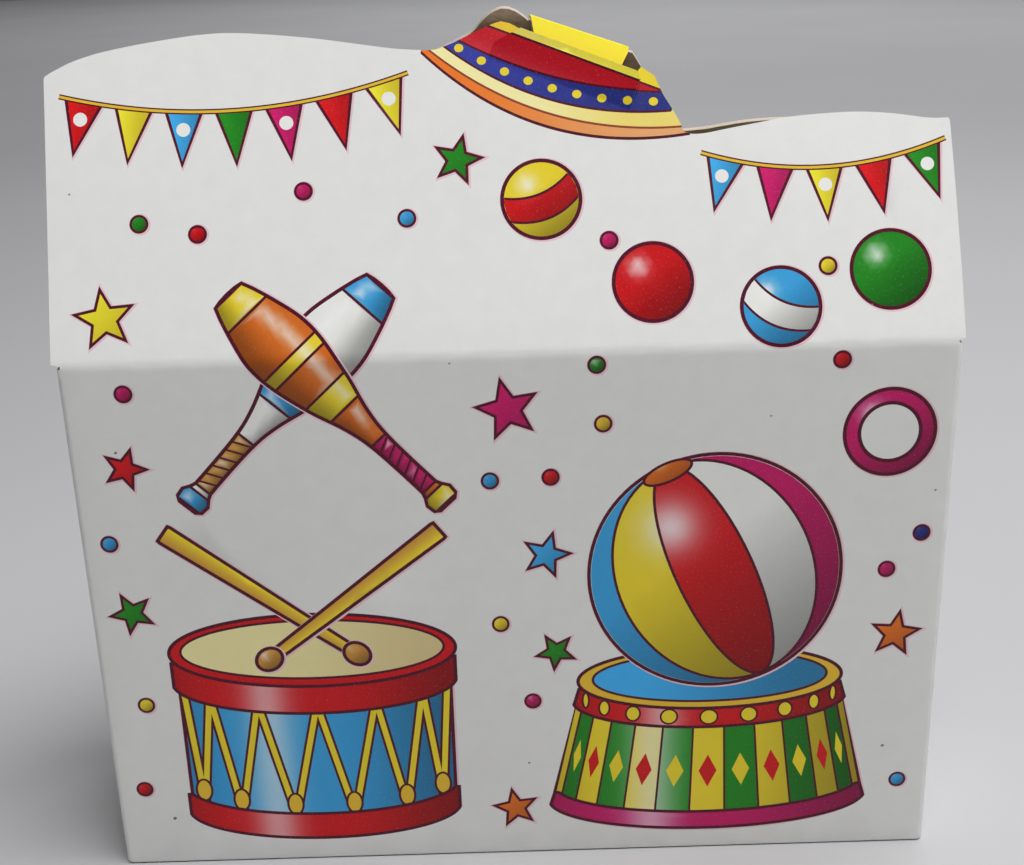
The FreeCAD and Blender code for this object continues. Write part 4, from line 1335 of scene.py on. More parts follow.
def mat_loose_board(name, outside, inside_, flip=0):
    """Board with a coated and a bare face, told apart by which way the face looks; flip 0: coated face down, 1: all bare."""
    m, nt, b = new_mat(name)
    vec = object_coords(nt)
    fib = noise(nt, vec, 900.0, 5.0, 0.7, (1.0, 3.4, 3.4), 0.6)
    big = noise(nt, vec, 120.0, 3.0, 0.6)
    fleck = noise(nt, vec, 3600.0, 1.0, 0.5)
    c = mix(nt, remap(nt, fib, 0.3, 0.7, 0.0, 1.0), linear(tint(inside_, 0.84)), linear(tint(inside_, 1.06)))
    c = mix(nt, remap(nt, big, 0.3, 0.7, 0.0, 0.35), c, linear(tint(inside_, 0.88)))
    c = mix(nt, remap(nt, fleck, 0.66, 0.76, 0.0, 0.6), c, linear(tint(inside_, 0.56)))
    if not flip:
        nz = split(nt, node(nt, "ShaderNodeNewGeometry").outputs["Normal"])[2]
        white = mix(nt, remap(nt, big, 0.3, 0.7, 0.0, 1.0), linear(tint(outside, 0.97)), linear(outside))
        c = mix(nt, remap(nt, nz, -0.6, -0.3, 1.0, 0.0), c, white)
        edge = mix(nt, remap(nt, fib, 0.3, 0.7, 0.0, 1.0), linear((176, 164, 148)), linear((214, 208, 198)))
        side = math_(nt, "COMPARE", nz, 0.0)
        side.node.inputs[2].default_value = 0.3
        c = mix(nt, side, c, edge)
    nt.links.new(c, b.inputs["Base Color"])
    nt.links.new(remap(nt, fib, 0.3, 0.7, 0.7, 0.9), b.inputs["Roughness"])
    bump(nt, b, math_(nt, "ADD", fib, math_(nt, "MULTIPLY", fleck, 0.4)), 0.3, 0.00008)
    return m


STRIPED = mat_cloth("striped_cotton", (206, 44, 40), (150, 26, 26), 190, 0.30, 6, (238, 214, 120))
BLUE = mat_cloth("blue_cotton", (66, 128, 204), (40, 88, 158), 230, 0.30)
BLUE_ARM = mat_cloth("blue_cotton_arm", (66, 128, 204), (40, 88, 158), 60, 0.30, around=False)
WHITE_CLOTH = mat_cloth("white_lawn", (240, 238, 230), (214, 210, 200), 260, 0.26)
TRIM_RED = mat_cloth("red_binding", (206, 40, 44), (150, 22, 30), 300, 0.2)
TRIM_YEL = mat_cloth("yellow_binding", (240, 204, 62), (200, 156, 34), 300, 0.2)
TRIM_YEL_ARM = mat_cloth("yellow_cuff", (240, 204, 62), (200, 156, 34), 60, 0.2, around=False)
GREEN_FELT, YELLOW_FELT = mat_felt("green_felt", (58, 150, 66), (28, 98, 42)), mat_felt("yellow_felt", (240, 206, 70), (196, 150, 36))
THREAD = mat_yarn("stitch_thread", (250, 226, 110), (206, 164, 56))
ORANGE_YARN, YELLOW_YARN = mat_yarn("orange_yarn", (238, 132, 46), (166, 66, 16)), mat_yarn("yellow_yarn", (250, 222, 88), (204, 148, 30))
STEEL, PAINT = mat_steel(), mat_paint()
WOOD, PEG_WOOD = mat_wood("disc_wood", (214, 178, 128), (172, 130, 82)), mat_wood("peg_wood", (214, 178, 128), (172, 130, 82), (9.0, 9.0, 1.0))
RED_BEAD, BLACK_BEAD = mat_bead("red_bead", (206, 26, 32), (164, 14, 22)), mat_bead("black_bead", (22, 20, 22), (10, 9, 12), 0.08)
YELLOW_BEAD = mat_bead("yellow_bead", (246, 210, 60), (222, 170, 34))
FLAP_BOARD = mat_loose_board("flap_board", (238, 238, 236), (194, 174, 150))
GLUE_BOARD = mat_loose_board("glue_board", (238, 238, 236), (194, 174, 150), 1)
GREY_CARD = mat_loose_board("grey_card", (238, 238, 236), (156, 154, 150), 1)


def dress(mat, *names):
    """A finish for CAD nodes whose shape stays."""
    for n in names:
        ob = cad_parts[n]
        if not ob.material_slots:
            ob.data.materials.append(mat)
        for s in ob.material_slots:
            s.material = mat


dress(FLAP_BOARD, "bottom_front_flap", "bottom_back_flap", "bottom_left_flap", "bottom_right_flap")
dress(GLUE_BOARD, "glue_flap")
dress(GREY_CARD, "base_card")
dress(WOOD, "base_disc", "neck_disc")
dress(PEG_WOOD, "neck_peg")
dress(STEEL, "base_staples", "neck_staples")
dress(RED_BEAD, "nose")
dress(BLACK_BEAD, "eyes")
dress(YELLOW_BEAD, "cape_buttons")


def spring_piece():
    seg, sides, turns, pitch, rad, wire = 72, 14, 9.0, 1.7, 6.6, 0.4
    t = np.arange(int(seg * turns) + 1) / seg
    a = 2 * math.pi * t
    path = np.c_[rad * np.cos(a), rad * np.sin(a), 4.6 + pitch * t]
    v, f = tube(path, wire, sides)
    ob = mesh_piece("spring_coil", v, f, [STEEL], sharp=60)
    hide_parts("spring")
    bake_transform(ob)
    return ob


def sleeve_piece():
    pleats, per, cols = 23, 10, 120
    z0, z1, z2, z3 = 2.45, 4.5, 20.0, 22.05
    s = np.arange(pleats * per + 1) / (pleats * per)
    zz = np.concatenate([np.linspace(z0, z1, 6)[:-1], z1 + (z2 - z1) * s, np.linspace(z2, z3, 6)[1:]])
    ss = np.concatenate([np.zeros(5), s, np.ones(5)])
    th = np.linspace(0, 2 * math.pi, cols, endpoint=False)
    S, T = np.meshgrid(ss, th, indexing="ij")
    Z = np.repeat(zz[:, None], cols, 1)
    ends = smooth(S / 0.035) * smooth((1 - S) / 0.035)
    wob = 0.55 * np.sin(2 * T + 5.0 * S) + 0.4 * np.sin(3 * T + 1.7 - 9.0 * S) + 0.22 * np.sin(7 * T + 23.0 * S)
    ph = 2 * math.pi * pleats * S + wob
    crest = np.sin(ph) + 0.16 * np.sin(2 * ph + 0.6)
    amp = 0.90 * (1 + 0.13 * np.sin(5 * T + 11 * S) * np.sin(2 * T + 17 * S + 1.0))
    R = 8.62 + ends * (amp * crest - 0.08) + 0.05 * np.sin(26 * T + 3 * np.sin(8 * S)) * (1 - 0.5 * ends)
    R = np.clip(R, 7.62 + 0.5 * (1 - smooth((Z - 5.8) / 0.9)) + 0.5 * smooth((Z - 16.9) / 0.9), 9.6)
    R = np.where((Z < 4.3) | (Z > 20.2), np.maximum(R, 8.6), R)
    v = np.stack([R * np.cos(T), R * np.sin(T), Z], -1)
    rows = len(zz)
    along = np.concatenate([[0], np.cumsum(np.linalg.norm(np.diff(v, axis=0), axis=2).mean(1))])
    flat = np.c_[np.zeros(rows * cols), np.repeat(along, cols)]
    ob = mesh_piece("cloth_sleeve", v.reshape(-1, 3), grid_faces(rows, cols), [STRIPED], flat=flat, sharp=170)
    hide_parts("spring_sleeve")
    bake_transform(ob)
    return ob


spring_piece()
sleeve_piece()


# ------------------------------------------------------------------ doll
def worn(ob, slot_name, *nodes):
    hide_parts(*nodes)
    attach(ob, "jack")
    return ob


NECK = 22.3                            # top of the neck disc


def cape_piece():
    """Gathered capelet with a pointed hem and a bound edge."""
    line = np.array(curve([(2.95, 22.86), (5.0, 22.9), (7.4, 22.86), (9.0, 22.66), (9.95, 22.2), (10.38, 21.4), (10.52, 20.2),
                           (10.68, 18.2), (10.84, 15.8), (11.0, 13.12)], 0.36))
    n, cols = len(line), 256
    d = np.gradient(line, axis=0)
    d /= np.linalg.norm(d, axis=1)[:, None]
    nrm = np.c_[-d[:, 1], d[:, 0]]                       # outward
    s = np.concatenate([[0], np.cumsum(np.linalg.norm(np.diff(line, axis=0), axis=1))])
    th = np.linspace(0, 2 * math.pi, cols, endpoint=False)
    S, T = np.meshgrid(s, th, indexing="ij")
    skirt = smooth((S - 7.5) / 8.5)
    fold = np.cos(16 * T + 0.5 * np.sin(3 * T) * skirt) * (0.40 * skirt + 0.05) + 0.06 * np.cos(7 * T + 1.1) * skirt
    point = np.abs(((T * 8 / math.pi) % 2) - 1)           # 1 at the hem's points
    lift = 1.5 * (1 - smooth(point)) * smooth((S - 11.5) / 6.0)
    def face(depth):
        r = np.repeat((line[:, 0] + nrm[:, 0] * -depth)[:, None], cols, 1) + fold
        z = np.repeat((line[:, 1] + nrm[:, 1] * -depth)[:, None], cols, 1) + lift
        return np.stack([r * np.cos(T), r * np.sin(T), z], -1)
    outer, inner = face(0.0), face(0.34)
    hem = (outer[-1] + inner[-1]) / 2 + np.array([0, 0, -0.1])
    neck = (outer[0] + inner[0]) / 2
    v = np.concatenate([outer, hem[None], inner[::-1], neck[None]])
    rows = len(v)
    # rows run from the neck down, so the faces are turned over
    f = [tuple(q[::-1]) for q in grid_faces(rows, cols)]
    f += [((rows - 1) * cols + (i + 1) % cols, (rows - 1) * cols + i, i, (i + 1) % cols) for i in range(cols)]
    bind = 4
    mat = []
    for i in range(rows - 1):
        mat += [1 if n - 1 - bind <= i <= n + bind else 0] * cols
    mat += [0] * cols
    along = np.concatenate([s, [s[-1]], s[::-1], [0.0]])
    ob = mesh_piece("cape_cloth", v.reshape(-1, 3), f, [BLUE, TRIM_YEL], mat,
                    np.c_[np.zeros(rows * cols), np.repeat(along, cols)], sharp=80)
    worn(ob, "blue_cloth", "cape")
    return ob


def ruff_piece():
    """A strip folded double along its outer edge and gathered round the neck."""
    pleats, cols = 18, 18 * 16
    half = 30
    u = np.linspace(0, 1, half)
    r_up = 3.0 + 7.95 * u
    gap = 0.15 * np.sqrt(np.clip(1 - u ** 6, 0, 1))
    r = np.concatenate([r_up, r_up[::-1][1:]])
    off = np.concatenate([-gap, gap[::-1][1:]])
    th = np.linspace(0, 2 * math.pi, cols, endpoint=False)
    R, T = np.meshgrid(r, th, indexing="ij")
    O = np.repeat(off[:, None], cols, 1)
    A = 0.84 + 0.05 * np.sin(5 * T + 0.4)
    ph = pleats * T + 0.18 * np.sin(4 * T + 2.0)
    wave = np.sin(ph) + 0.10 * np.sin(3 * ph)
    lean = -0.12 * np.cos(2 * ph) * (R / 11.0) ** 2
    Z = 24.2 + A * wave * (0.9 + 0.1 * R / 11) + O
    v = np.stack([(R + lean) * np.cos(T), (R + lean) * np.sin(T), Z], -1)
    rows = len(r)
    f = grid_faces(rows, cols)
    mat = []
    for i in range(rows - 1):
        mat += [1 if half - 4 <= i < half + 2 else 0] * cols
    along = np.concatenate([[0], np.cumsum(np.abs(np.diff(r)) + np.abs(np.diff(off)))])
    ob = mesh_piece("ruff_cloth", v.reshape(-1, 3), f, [WHITE_CLOTH, TRIM_RED], mat,
                    np.c_[np.zeros(rows * cols), np.repeat(along, cols)], sharp=120)
    worn(ob, "white_cloth", "ruff")
    return ob


SKIN = (238, 196, 158)


def paint_corners(me, rgb):
    """One colour all over, with the same attribute that drawn pieces carry."""
    a = me.color_attributes.new("Ink", "FLOAT_COLOR", "CORNER")
    a.data.foreach_set("color", np.tile(np.array([*linear(rgb), 1.0], np.float32), len(me.loops)))


def head_piece():
    """Turned head with a modelled brow, cheeks and chin, and a simple painted face."""
    R, HZ = 9.0, 34.2
    A = Art()
    # painted shade: the skin is a little lighter towards the brow and darker towards the chin
    A.fill(ell(0, 0, 29, 29, n=120), ramp(tint(SKIN, 1.02), tint(SKIN, 0.96), (0, 8), (0, -12)))

    def blush(cx, cy, r):
        def f(p):
            q = np.linalg.norm(p - np.array([cx, cy]), axis=1) / r
            return mixed(SKIN, (226, 92, 88), 0.85 * (1 - smooth((q - 0.25) / 0.75)))
        return f
    for s in (-1, 1):
        A.fill(ell(s * 5.3, -2.3, 2.2, 2.1, n=48), blush(s * 5.3, -2.3, 2.15))
        A.shape(ell(s * 3.42, 2.1, 1.42, 1.78, n=44), (248, 246, 240), w=0.17, line=(128, 70, 48), fringe=False)
        brow = arc((s * 2.2, 4.75), (s * 5.0, 4.35), -0.75 * s, 24)
        A.stroke(brow, 0.16 + 0.40 * np.sin(np.linspace(0.25, 2.9, 24)), (146, 72, 34))
        lash = arc((s * 2.15, 2.75), (s * 4.75, 2.7), -1.25 * s, 20)
        A.stroke(lash, 0.12 + 0.2 * np.sin(np.linspace(0.2, 2.95, 20)), (92, 46, 34))
    mouth = arc((-2.7, -3.95), (2.7, -3.95), 0.95, 40)
    lip = arc((-1.5, -4.82), (1.5, -4.82), 0.42, 30)
    A.stroke(lip, 0.06 + 0.62 * np.sin(np.linspace(0, math.pi, 30)), (222, 104, 98))
    A.stroke(mouth, 0.12 + 0.34 * np.sin(np.linspace(0.15, math.pi - 0.15, 40)), (168, 34, 40))
    for s in (-1, 1):
        A.stroke(arc((s * 2.72, -4.3), (s * 2.98, -3.62), 0.12 * s, 10), 0.2, (168, 84, 66))
    lim = 27.0
    v, f = triangulate(ccw(ell(0, 0, lim, lim, n=150)), [], A, 0.62)
    col = painted(v, f, A)
    rho = np.maximum(np.linalg.norm(v, axis=1), 1e-9)
    a = rho / R
    d = np.c_[np.sin(a) * v[:, 0] / rho, -np.cos(a), np.sin(a) * v[:, 1] / rho]
    x, y = np.abs(v[:, 0]), v[:, 1]
    r = (R + 0.26 * np.exp(-((x - 5.0) / 2.3) ** 2 - ((y + 2.6) / 2.1) ** 2) + 0.22 * np.exp(-(x / 2.4) ** 2 - ((y + 7.4) / 1.9) ** 2)
         - 0.10 * np.exp(-((x - 3.4) / 1.5) ** 2 - ((y - 2.0) / 1.7) ** 2) + 0.10 * np.exp(-((x - 3.6) / 2.4) ** 2 - ((y - 4.6) / 1.0) ** 2)
         - 0.10 * np.exp(-(x / 2.6) ** 2 - ((y + 4.75) / 0.55) ** 2))
    pos = np.array([0, 0, HZ]) + d * r[:, None]
    e = np.concatenate([f[:, [0, 1]], f[:, [1, 2]], f[:, [2, 0]]])
    _, idx, cnt = np.unique(np.sort(e, axis=1), axis=0, return_index=True, return_counts=True)
    rim = e[idx[cnt == 1]]
    verts = np.vstack([pos, [[0, R, HZ]]])
    faces = [tuple(t) for t in f] + [(b, a_, len(pos)) for a_, b in rim]
    corner = np.vstack([col.reshape(-1, 4), np.tile([*linear(tint(SKIN, 0.97)), 1.0], (3 * len(rim), 1))])
    ob = mesh_piece("head_ball", verts, faces, [PAINT], sharp=175)
    ink = ob.data.color_attributes.new("Ink", "FLOAT_COLOR", "CORNER")
    ink.data.foreach_set("color", corner.astype(np.float32).ravel())
    return worn(ob, "painted_head", "head")


def arm_pieces(side, sgn):
    """A stuffed sleeve with a gathered cuff, and a mitten hand."""
    top, mid, end = np.array([sgn * 10.0, 0.0, 20.35]), np.array([sgn * 13.35, -0.25, 15.7]), np.array([sgn * 15.6, -1.0, 10.35])
    t = np.concatenate([np.linspace(0, 0.84, 44), np.linspace(0.85, 1.0, 22)])
    path = np.outer((1 - t) ** 2, top) + np.outer(2 * t * (1 - t), 2 * mid - (top + end) / 2) + np.outer(t ** 2, end)
    d = np.gradient(path, axis=0)
    d /= np.linalg.norm(d, axis=1)[:, None]
    e1 = np.cross(d, np.array([0.0, 1.0, 0.0]))
    e1 /= np.linalg.norm(e1, axis=1)[:, None]
    e2 = np.cross(d, e1)
    cols = 56
    th = np.linspace(0, 2 * math.pi, cols, endpoint=False)
    Tt, Th = np.meshgrid(t, th, indexing="ij")
    body = 2.12 + 0.42 * Tt + 0.16 * np.sin(math.pi * Tt)
    bell = smooth(Tt / 0.12) * smooth((0.86 - Tt) / 0.14)
    crease = 0.10 * np.sin(17 * Tt + 1.6 * np.cos(Th - 0.6) + sgn) * bell + 0.05 * np.sin(31 * Tt + 2.2 * np.sin(2 * Th)) * bell
    elbow = -0.20 * np.exp(-((Tt - 0.47) / 0.05) ** 2) * np.clip(-np.cos(Th) * sgn, 0, 1)
    pucker = 0.07 * np.cos(14 * Th) * smooth((Tt - 0.55) / 0.3) * smooth((0.9 - Tt) / 0.06)
    tie = -0.42 * np.exp(-((Tt - 0.885) / 0.022) ** 2)
    frill = (0.28 * smooth((Tt - 0.90) / 0.08) + 0.17 * np.cos(14 * Th) * smooth((Tt - 0.91) / 0.07))
    rad = body + crease + elbow + pucker + tie + frill
    pts = path[:, None] + rad[..., None] * (np.cos(Th)[..., None] * e1[:, None] + np.sin(Th)[..., None] * e2[:, None])
    back = [end + (p - end) * k - d[-1] * q for k, q, p in ((0.93, 0.06, pts[-1]), (0.80, 0.45, pts[-1]), (0.62, 0.9, pts[-1]))]
    v = np.concatenate([pts] + [b[None] for b in back]).reshape(-1, 3)
    rows = len(t) + 3
    f = grid_faces(rows, cols)
    v = np.vstack([v, path[:1], [end - d[-1] * 0.9]])
    far = np.hypot(v[:, 0], v[:, 1])
    v[:, :2] *= np.maximum(1, 9.75 / far)[:, None]       # flat against the body where it is sewn on
    a, b = rows * cols, rows * cols + 1
    for j in range(cols):
        k = (j + 1) % cols
        f.append((a, k, j))
        f.append((b, (rows - 1) * cols + j, (rows - 1) * cols + k))
    mat = []
    tt = np.append(t, [1.0, 1.0, 1.0])
    for i in range(rows - 1):
        mat += [1 if tt[i] > 0.855 else 0] * cols
    mat += [0, 1] * cols
    along = np.append(np.concatenate([[0], np.cumsum(np.linalg.norm(np.diff(path, axis=0), axis=1))]), [12.6, 13.0, 13.5])
    round_ = np.abs(((th + math.pi) % (2 * math.pi)) - math.pi) * 2.4
    flat = np.vstack([np.c_[np.tile(round_, rows), np.repeat(along, cols)], [[0, 0], [0, 13.5]]])
    arm = mesh_piece("%s_sleeve_cloth" % side, v, f, [BLUE_ARM, TRIM_YEL_ARM], mat, flat, sharp=80)
    worn(arm, "blue_cloth", "%s_sleeve" % side)

    # mitten: a palm with three finger grooves and a thumb
    c = np.array([sgn * 16.25, -1.1, 8.85])
    rows2, cols2 = 40, 56
    ph = np.linspace(0.05, math.pi - 0.05, rows2)[::-1]
    P, Q = np.meshgrid(ph, np.linspace(0, 2 * math.pi, cols2, endpoint=False), indexing="ij")
    n = np.stack([np.sin(P) * np.cos(Q), np.sin(P) * np.sin(Q), np.cos(P)], -1)
    rx, ry, rz = 2.05, 1.62, 2.5
    p = n * np.array([rx, ry, rz])
    low = smooth(-(p[..., 2] + 0.1) / 1.3)
    groove = sum(np.exp(-((p[..., 0] - gx) / 0.17) ** 2) for gx in (-0.72, 0.06, 0.84)) * low
    p = p - n * (0.26 * groove)[..., None]
    p[..., 1] *= 1 - 0.10 * low
    p[..., 2] += 0.16 * groove
    palm = np.vstack([p.reshape(-1, 3), [[0, 0, -rz + 0.02], [0, 0, rz]]])
    fh = grid_faces(rows2, cols2)
    for j in range(cols2):
        k = (j + 1) % cols2
        fh.append((rows2 * cols2, k, j))
        fh.append((rows2 * cols2 + 1, (rows2 - 1) * cols2 + j, (rows2 - 1) * cols2 + k))
    parts = [(palm, fh)]
    k = np.linspace(0, 1, 14)[:, None]
    p0, p1, p2 = np.array([-sgn * 0.7, -0.5, 1.2]), np.array([-sgn * 1.5, -1.15, 0.6]), np.array([-sgn * 1.2, -1.35, -0.75])
    tpath = (1 - k) ** 2 * p0 + 2 * k * (1 - k) * p1 + k ** 2 * p2
    parts.append(tube(tpath, 0.68, 20, taper=np.sqrt(np.clip(1 - (np.linspace(0, 1, 14) ** 5) * 0.98, 0.02, 1))))
    hv, hf, _, _ = gather(parts)
    hand = mesh_piece("%s_mitten" % side, hv + c, hf, [PAINT], sharp=80)
    paint_corners(hand.data, SKIN)
    worn(hand, "painted_head", "%s_hand" % side)


def hair_piece(side, sgn):
    """Loops of two-ply yarn sewn to the head."""
    rng = np.random.RandomState(11 if sgn < 0 else 12)
    hc, c = np.array([0, 0, 34.2]), np.array([sgn * 9.3, 1.0, 35.2])
    parts, tones = [], []
    n = 150
    for i in range(n):
        z = 1 - 2 * (i + 0.5) / n
        a = i * 2.399963
        q = np.array([math.sqrt(1 - z * z) * math.cos(a), math.sqrt(1 - z * z) * math.sin(a), z])
        tipp = c + q * np.array([2.45, 3.75, 4.15]) * rng.uniform(0.86, 1.0)
        out = tipp - hc
        dist = np.linalg.norm(out)
        if dist < 9.35 or tipp[0] * sgn < 6.6:
            continue
        out /= dist
        base = hc + out * 8.85
        tang = np.cross(out, rng.normal(size=3))
        tang /= np.linalg.norm(tang)
        side_ = np.cross(out, tang)
        w = rng.uniform(0.5, 0.8)
        t = np.linspace(0, 1, 17)
        h = dist - 8.85
        bulb = np.sin(math.pi * t)
        path = (base + np.outer((t - 0.5) * 2 * w * (0.6 + 0.7 * bulb), tang) + np.outer(h * bulb ** 0.8, out)
                + np.outer(0.35 * np.sin(2 * math.pi * t) * rng.uniform(-1, 1), side_))
        parts.append(tube(path, 0.40, 9, 0.20, 4.2))
        tones.append(rng.uniform(0.15, 1.0))
    v, f, iv, _ = gather(parts)
    ob = mesh_piece("%s_hair_yarn" % side, v, f, [ORANGE_YARN], tone=np.array(tones)[iv], sharp=80)
    return worn(ob, "orange_yarn", "%s_hair" % side)


def hat_pieces():
    # brim: a felt ring with a soft wave and a stitched edge
    cols = 160
    prof = [(6.35, 40.72)] + [(r, 40.64) for r in np.linspace(6.6, 10.1, 12)] \
        + [(10.28 + 0.32 * math.sin(a), 41.0 - 0.36 * math.cos(a)) for a in np.radians(np.arange(15, 180, 22.5))] \
        + [(r, 41.36) for r in np.linspace(10.1, 6.6, 12)] + [(6.35, 41.3)]

    def wavy(r, z, t, row):
        k = smooth((r - 6.6) / 4.0)
        return r + 0.05 * np.sin(5 * t + 0.7) * k, z + k * (0.24 * np.sin(2 * t + 0.9) + 0.10 * np.sin(3 * t + 2.0) + 0.10)
    v = lathe(prof, cols, wavy)
    rows = len(prof)
    f = [tuple(q) for q in grid_faces(rows, cols)]
    f += [((rows - 1) * cols + j, (rows - 1) * cols + (j + 1) % cols, (j + 1) % cols, j) for j in range(cols)]
    parts = [(v, f)]
    for i in range(46):                                   # overcast stitches round the edge
        a = 2 * math.pi * (i + 0.3) / 46
        loop = []
        for q in np.linspace(-1.0, 1.0, 13):
            ang = q * 2.0
            r = 10.28 + 0.38 * math.cos(ang) if abs(ang) < 1.57 else 10.28 - 0.75 * (abs(ang) - 1.57) / 0.43
            zz = 41.0 + 0.43 * math.sin(max(-1.57, min(1.57, ang)))
            rr, z2 = wavy(np.array(r), np.array(zz), a + 0.02 * q, 0)
            loop.append((float(rr) * math.cos(a + 0.02 * q), float(rr) * math.sin(a + 0.02 * q), float(z2)))
        parts.append(tube(loop, 0.085, 7))
    v, f, _, jf = gather(parts)
    brim = mesh_piece("hat_brim_felt", v, f, [GREEN_FELT, THREAD], np.where(jf == 0, 0, 1), tone=np.full(len(v), 0.6), sharp=60)
    worn(brim, "green_felt", "hat_brim")

    # crown: rounded at the top, with a slight pinch
    top = [(0.35, 43.42), (1.5, 43.28), (3.0, 42.92), (4.4, 42.28), (5.4, 41.72), (6.12, 41.42), (6.5, 41.36), (6.88, 41.42)] + [(6.88 - 1.42 * k, 41.42 + 7.6 * k) for k in np.linspace(0.06, 1.0, 22)] \
        + [(5.46 - 0.75 * (1 - math.cos(a)), 49.02 + 0.85 * math.sin(a)) for a in np.radians(np.arange(12, 91, 13))] \
        + [(r, 49.87 + 0.1 * (1 - r / 4.7)) for r in np.linspace(4.5, 0.35, 9)]

    def pinch(r, z, t, row):
        k = smooth((z - 43.5) / 5.0) * smooth(r / 3.0)
        return r * (1 - 0.03 * k * np.cos(2 * t)) + 0.05 * np.sin(4 * t + 0.5 * z) * k, z - 0.10 * smooth((3.5 - r) / 3) * (z > 48)
    v = lathe(top, cols, pinch)
    rows = len(top)
    f = grid_faces(rows, cols)
    v = np.vstack([v, [[0, 0, 49.88], [0, 0, 43.44]]])
    for j in range(cols):
        k = (j + 1) % cols
        f.append(((rows - 1) * cols + j, (rows - 1) * cols + k, rows * cols))
        f.append((k, j, rows * cols + 1))
    crown = mesh_piece("hat_crown_felt", v, f, [GREEN_FELT], sharp=70)
    worn(crown, "green_felt", "hat_crown")

    # band: a strip of felt lapped at one side and caught with three stitches
    n = 180
    th = np.linspace(0, 2 * math.pi, n, endpoint=False)
    prof = [(0.0, 41.5), (0.34, 41.48), (0.42, 41.6), (0.42, 42.6), (0.42, 43.68), (0.34, 43.8), (0.0, 43.78)]

    def lap(r, z, t, row):
        base = 6.9 - 1.5 * (z - 41.4) / 8.6 + 0.03
        step = 0.24 * smooth(((t / (2 * math.pi)) - 0.965) / 0.006)
        return base + r + step * (r > 0.05), z + 0.05 * np.sin(3 * t + 1.0)
    v = lathe(prof, n, lap)
    f = grid_faces(len(prof), n) + [((len(prof) - 1) * n + j, (len(prof) - 1) * n + (j + 1) % n, (j + 1) % n, j) for j in range(n)]
    parts = [(v, f)]
    for z in (42.0, 42.65, 43.3):
        pts = []
        for q in np.linspace(0, 1, 9):
            a = 2 * math.pi * (0.958 + 0.017 * q)
            r = 6.9 - 1.5 * (z - 41.4) / 8.6 + 0.45 + 0.03 + 0.24 * smooth((a / (2 * math.pi) - 0.965) / 0.006) + 0.06 * math.sin(math.pi * q)
            pts.append((r * math.cos(a), r * math.sin(a), z))
        parts.append(tube(pts, 0.09, 7))
    v, f, _, jf = gather(parts)
    band = mesh_piece("hat_band_felt", v, f, [YELLOW_FELT, THREAD], np.where(jf == 0, 0, 1), tone=np.full(len(v), 0.2), sharp=50)
    worn(band, "yellow_felt", "hat_band")

    # pompom: cut ends of yarn standing out from the middle
    rng = np.random.RandomState(21)
    c = np.array([0, 0, 51.75])
    parts, tones = [], []
    n = 620
    for i in range(n):
        z = 1 - 2 * (i + 0.5) / n
        a = i * 2.399963
        q = np.array([math.sqrt(1 - z * z) * math.cos(a), math.sqrt(1 - z * z) * math.sin(a), z])
        length = rng.uniform(1.86, 2.27)
        end = c + q * length
        if end[2] < 50.12:
            end[2] = 50.12
        bend = rng.normal(size=3) * 0.2
        t = np.linspace(0, 1, 5)[:, None]
        path = c + (end - c) * (0.25 + 0.75 * t) + bend * np.sin(math.pi * t)
        parts.append(tube(path, 0.125, 6, taper=(0.8, 1.0, 1.1, 1.0, 0.55)))
        tones.append(rng.uniform(0.1, 1.0))
    v, f, iv, _ = gather(parts)
    v[:, 2] = np.maximum(v[:, 2], 50.02)
    pom = mesh_piece("hat_pompom_yarn", v, f, [YELLOW_YARN], tone=np.array(tones)[iv], sharp=80)
    worn(pom, "yellow_yarn", "hat_pompom")


cape_piece()
ruff_piece()
head_piece()
for side_name, side_sgn in (("left", -1), ("right", 1)):
    arm_pieces(side_name, side_sgn)
    hair_piece(side_name, side_sgn)
hat_pieces()

# ------------------------------------------------------------------ stage, light, camera
def stage_floor():
    me = bpy.data.meshes.new("floor")
    n, r = 96, 2.4
    rings = [0.0, 0.15, 0.4, 0.9, r]
    verts = [(0, 0, 0)]
    faces = []
    for k in rings[1:]:
        verts += [(k * math.cos(2 * math.pi * i / n), k * math.sin(2 * math.pi * i / n), -0.00002) for i in range(n)]
    for i in range(n):
        faces.append((0, 1 + i, 1 + (i + 1) % n))
    for j in range(len(rings) - 2):
        a, b = 1 + j * n, 1 + (j + 1) * n
        faces += [(a + i, b + i, b + (i + 1) % n, a + (i + 1) % n) for i in range(n)]
    verts[0] = (0, 0, -0.00002)
    me.from_pydata(verts, [], faces)
    ob = bpy.data.objects.new("floor", me)
    bpy.context.scene.collection.objects.link(ob)
    m, nt, b = new_mat("floor_pale")
    vec = object_coords(nt)
    c = mix(nt, remap(nt, noise(nt, vec, 3.0, 2.0), 0.3, 0.7, 0.0, 1.0), linear((182, 182, 185)), linear((188, 188, 190)))
    c = mix(nt, 1.0, c, remap(nt, noise(nt, vec, 9.0, 3.0), 0.3, 0.7, 0.97, 1.0), "MULTIPLY")
    nt.links.new(c, b.inputs["Base Color"])
    b.inputs["Roughness"].default_value = 0.6
    me.materials.append(m)
    return ob


stage_floor()


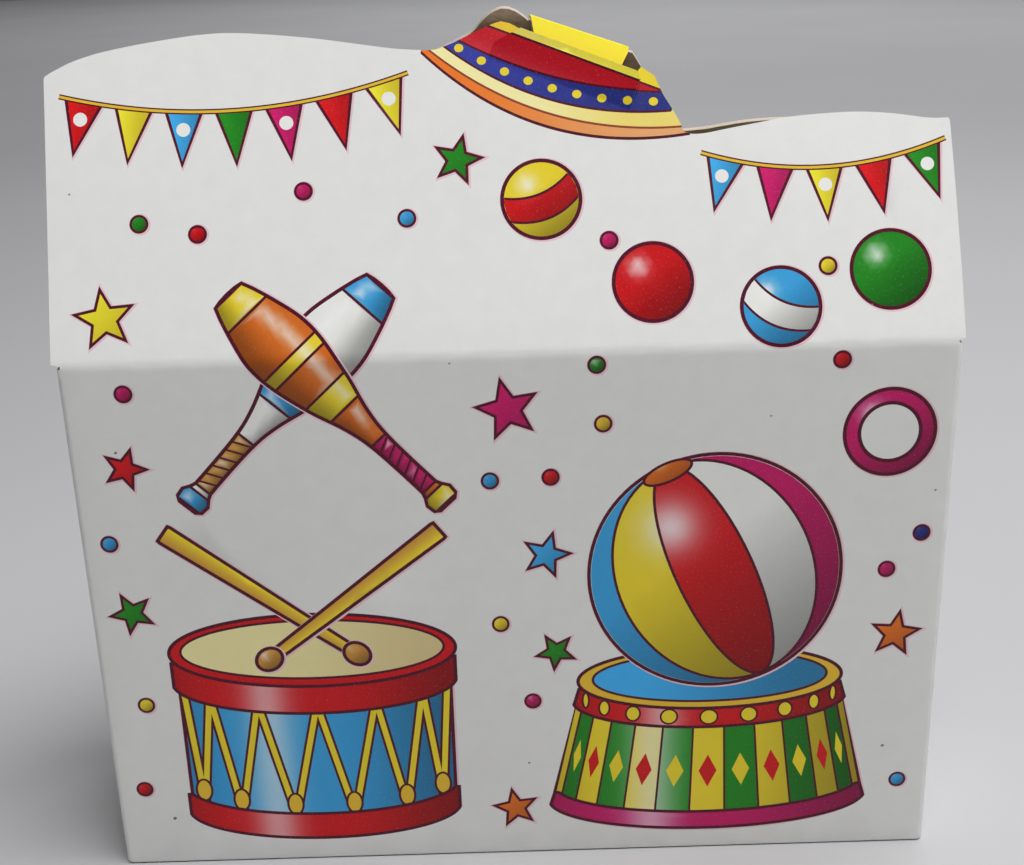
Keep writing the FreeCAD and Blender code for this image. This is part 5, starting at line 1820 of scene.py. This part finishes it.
def area_light(name, loc, aim, size, size_y, power, colour=(1, 1, 1)):
    d = bpy.data.lights.new(name, "AREA")
    d.shape = "RECTANGLE"
    d.size, d.size_y = size, size_y
    d.energy = power
    d.color = colour
    ob = bpy.data.objects.new(name, d)
    ob.location = loc
    ob.rotation_mode = "QUATERNION"
    ob.rotation_quaternion = (Vector(aim) - Vector(loc)).to_track_quat("-Z", "Y")
    bpy.context.scene.collection.objects.link(ob)
    return ob


area_light("top_soft", (0.16, -0.139, 0.62), (0, -0.01, 0.03), 0.52, 0.34, 4.72, (1.0, 0.995, 0.985))
area_light("front_soft", (0.75, -0.8, 0.35), (0, 0, 0.04), 0.9, 0.7, 0.12, (0.98, 0.99, 1.0))
area_light("back_soft", (0.3, 1.5, 0.9), (0, 1.2, 0.0), 1.6, 0.9, 10.4, (1.0, 1.0, 1.0))
world = bpy.data.worlds.new("studio")
world.use_nodes = True
world.node_tree.nodes["Background"].inputs[0].default_value = (0.86, 0.87, 0.9, 1)
world.node_tree.nodes["Background"].inputs[1].default_value = 0.10
bpy.context.scene.world = world

cam_data = bpy.data.cameras.new("camera")
cam = bpy.data.objects.new("camera", cam_data)
bpy.context.scene.collection.objects.link(cam)
cam_data.sensor_fit = "HORIZONTAL"
cam_data.sensor_width = 36.0
cam_data.lens = 1404.0 / 1024.0 * 36.0
cam_data.clip_start, cam_data.clip_end = 0.005, 20.0
el, roll = math.radians(20.0), math.radians(-1.72)
fwd = Vector((0, math.cos(el), -math.sin(el)))
u0 = Vector((0, math.sin(el), math.cos(el)))
rgt = Vector((1, 0, 0)) * math.cos(roll) + u0 * math.sin(roll)
upv = u0 * math.cos(roll) - Vector((1, 0, 0)) * math.sin(roll)
pos = Vector((0, -0.0135, 0.05053)) - fwd * 0.14157
cam.matrix_world = Matrix(((rgt.x, upv.x, -fwd.x, pos.x), (rgt.y, upv.y, -fwd.y, pos.y), (rgt.z, upv.z, -fwd.z, pos.z),
                           (0, 0, 0, 1)))
bpy.context.scene.camera = cam
bpy.context.scene.view_settings.view_transform = "Standard"
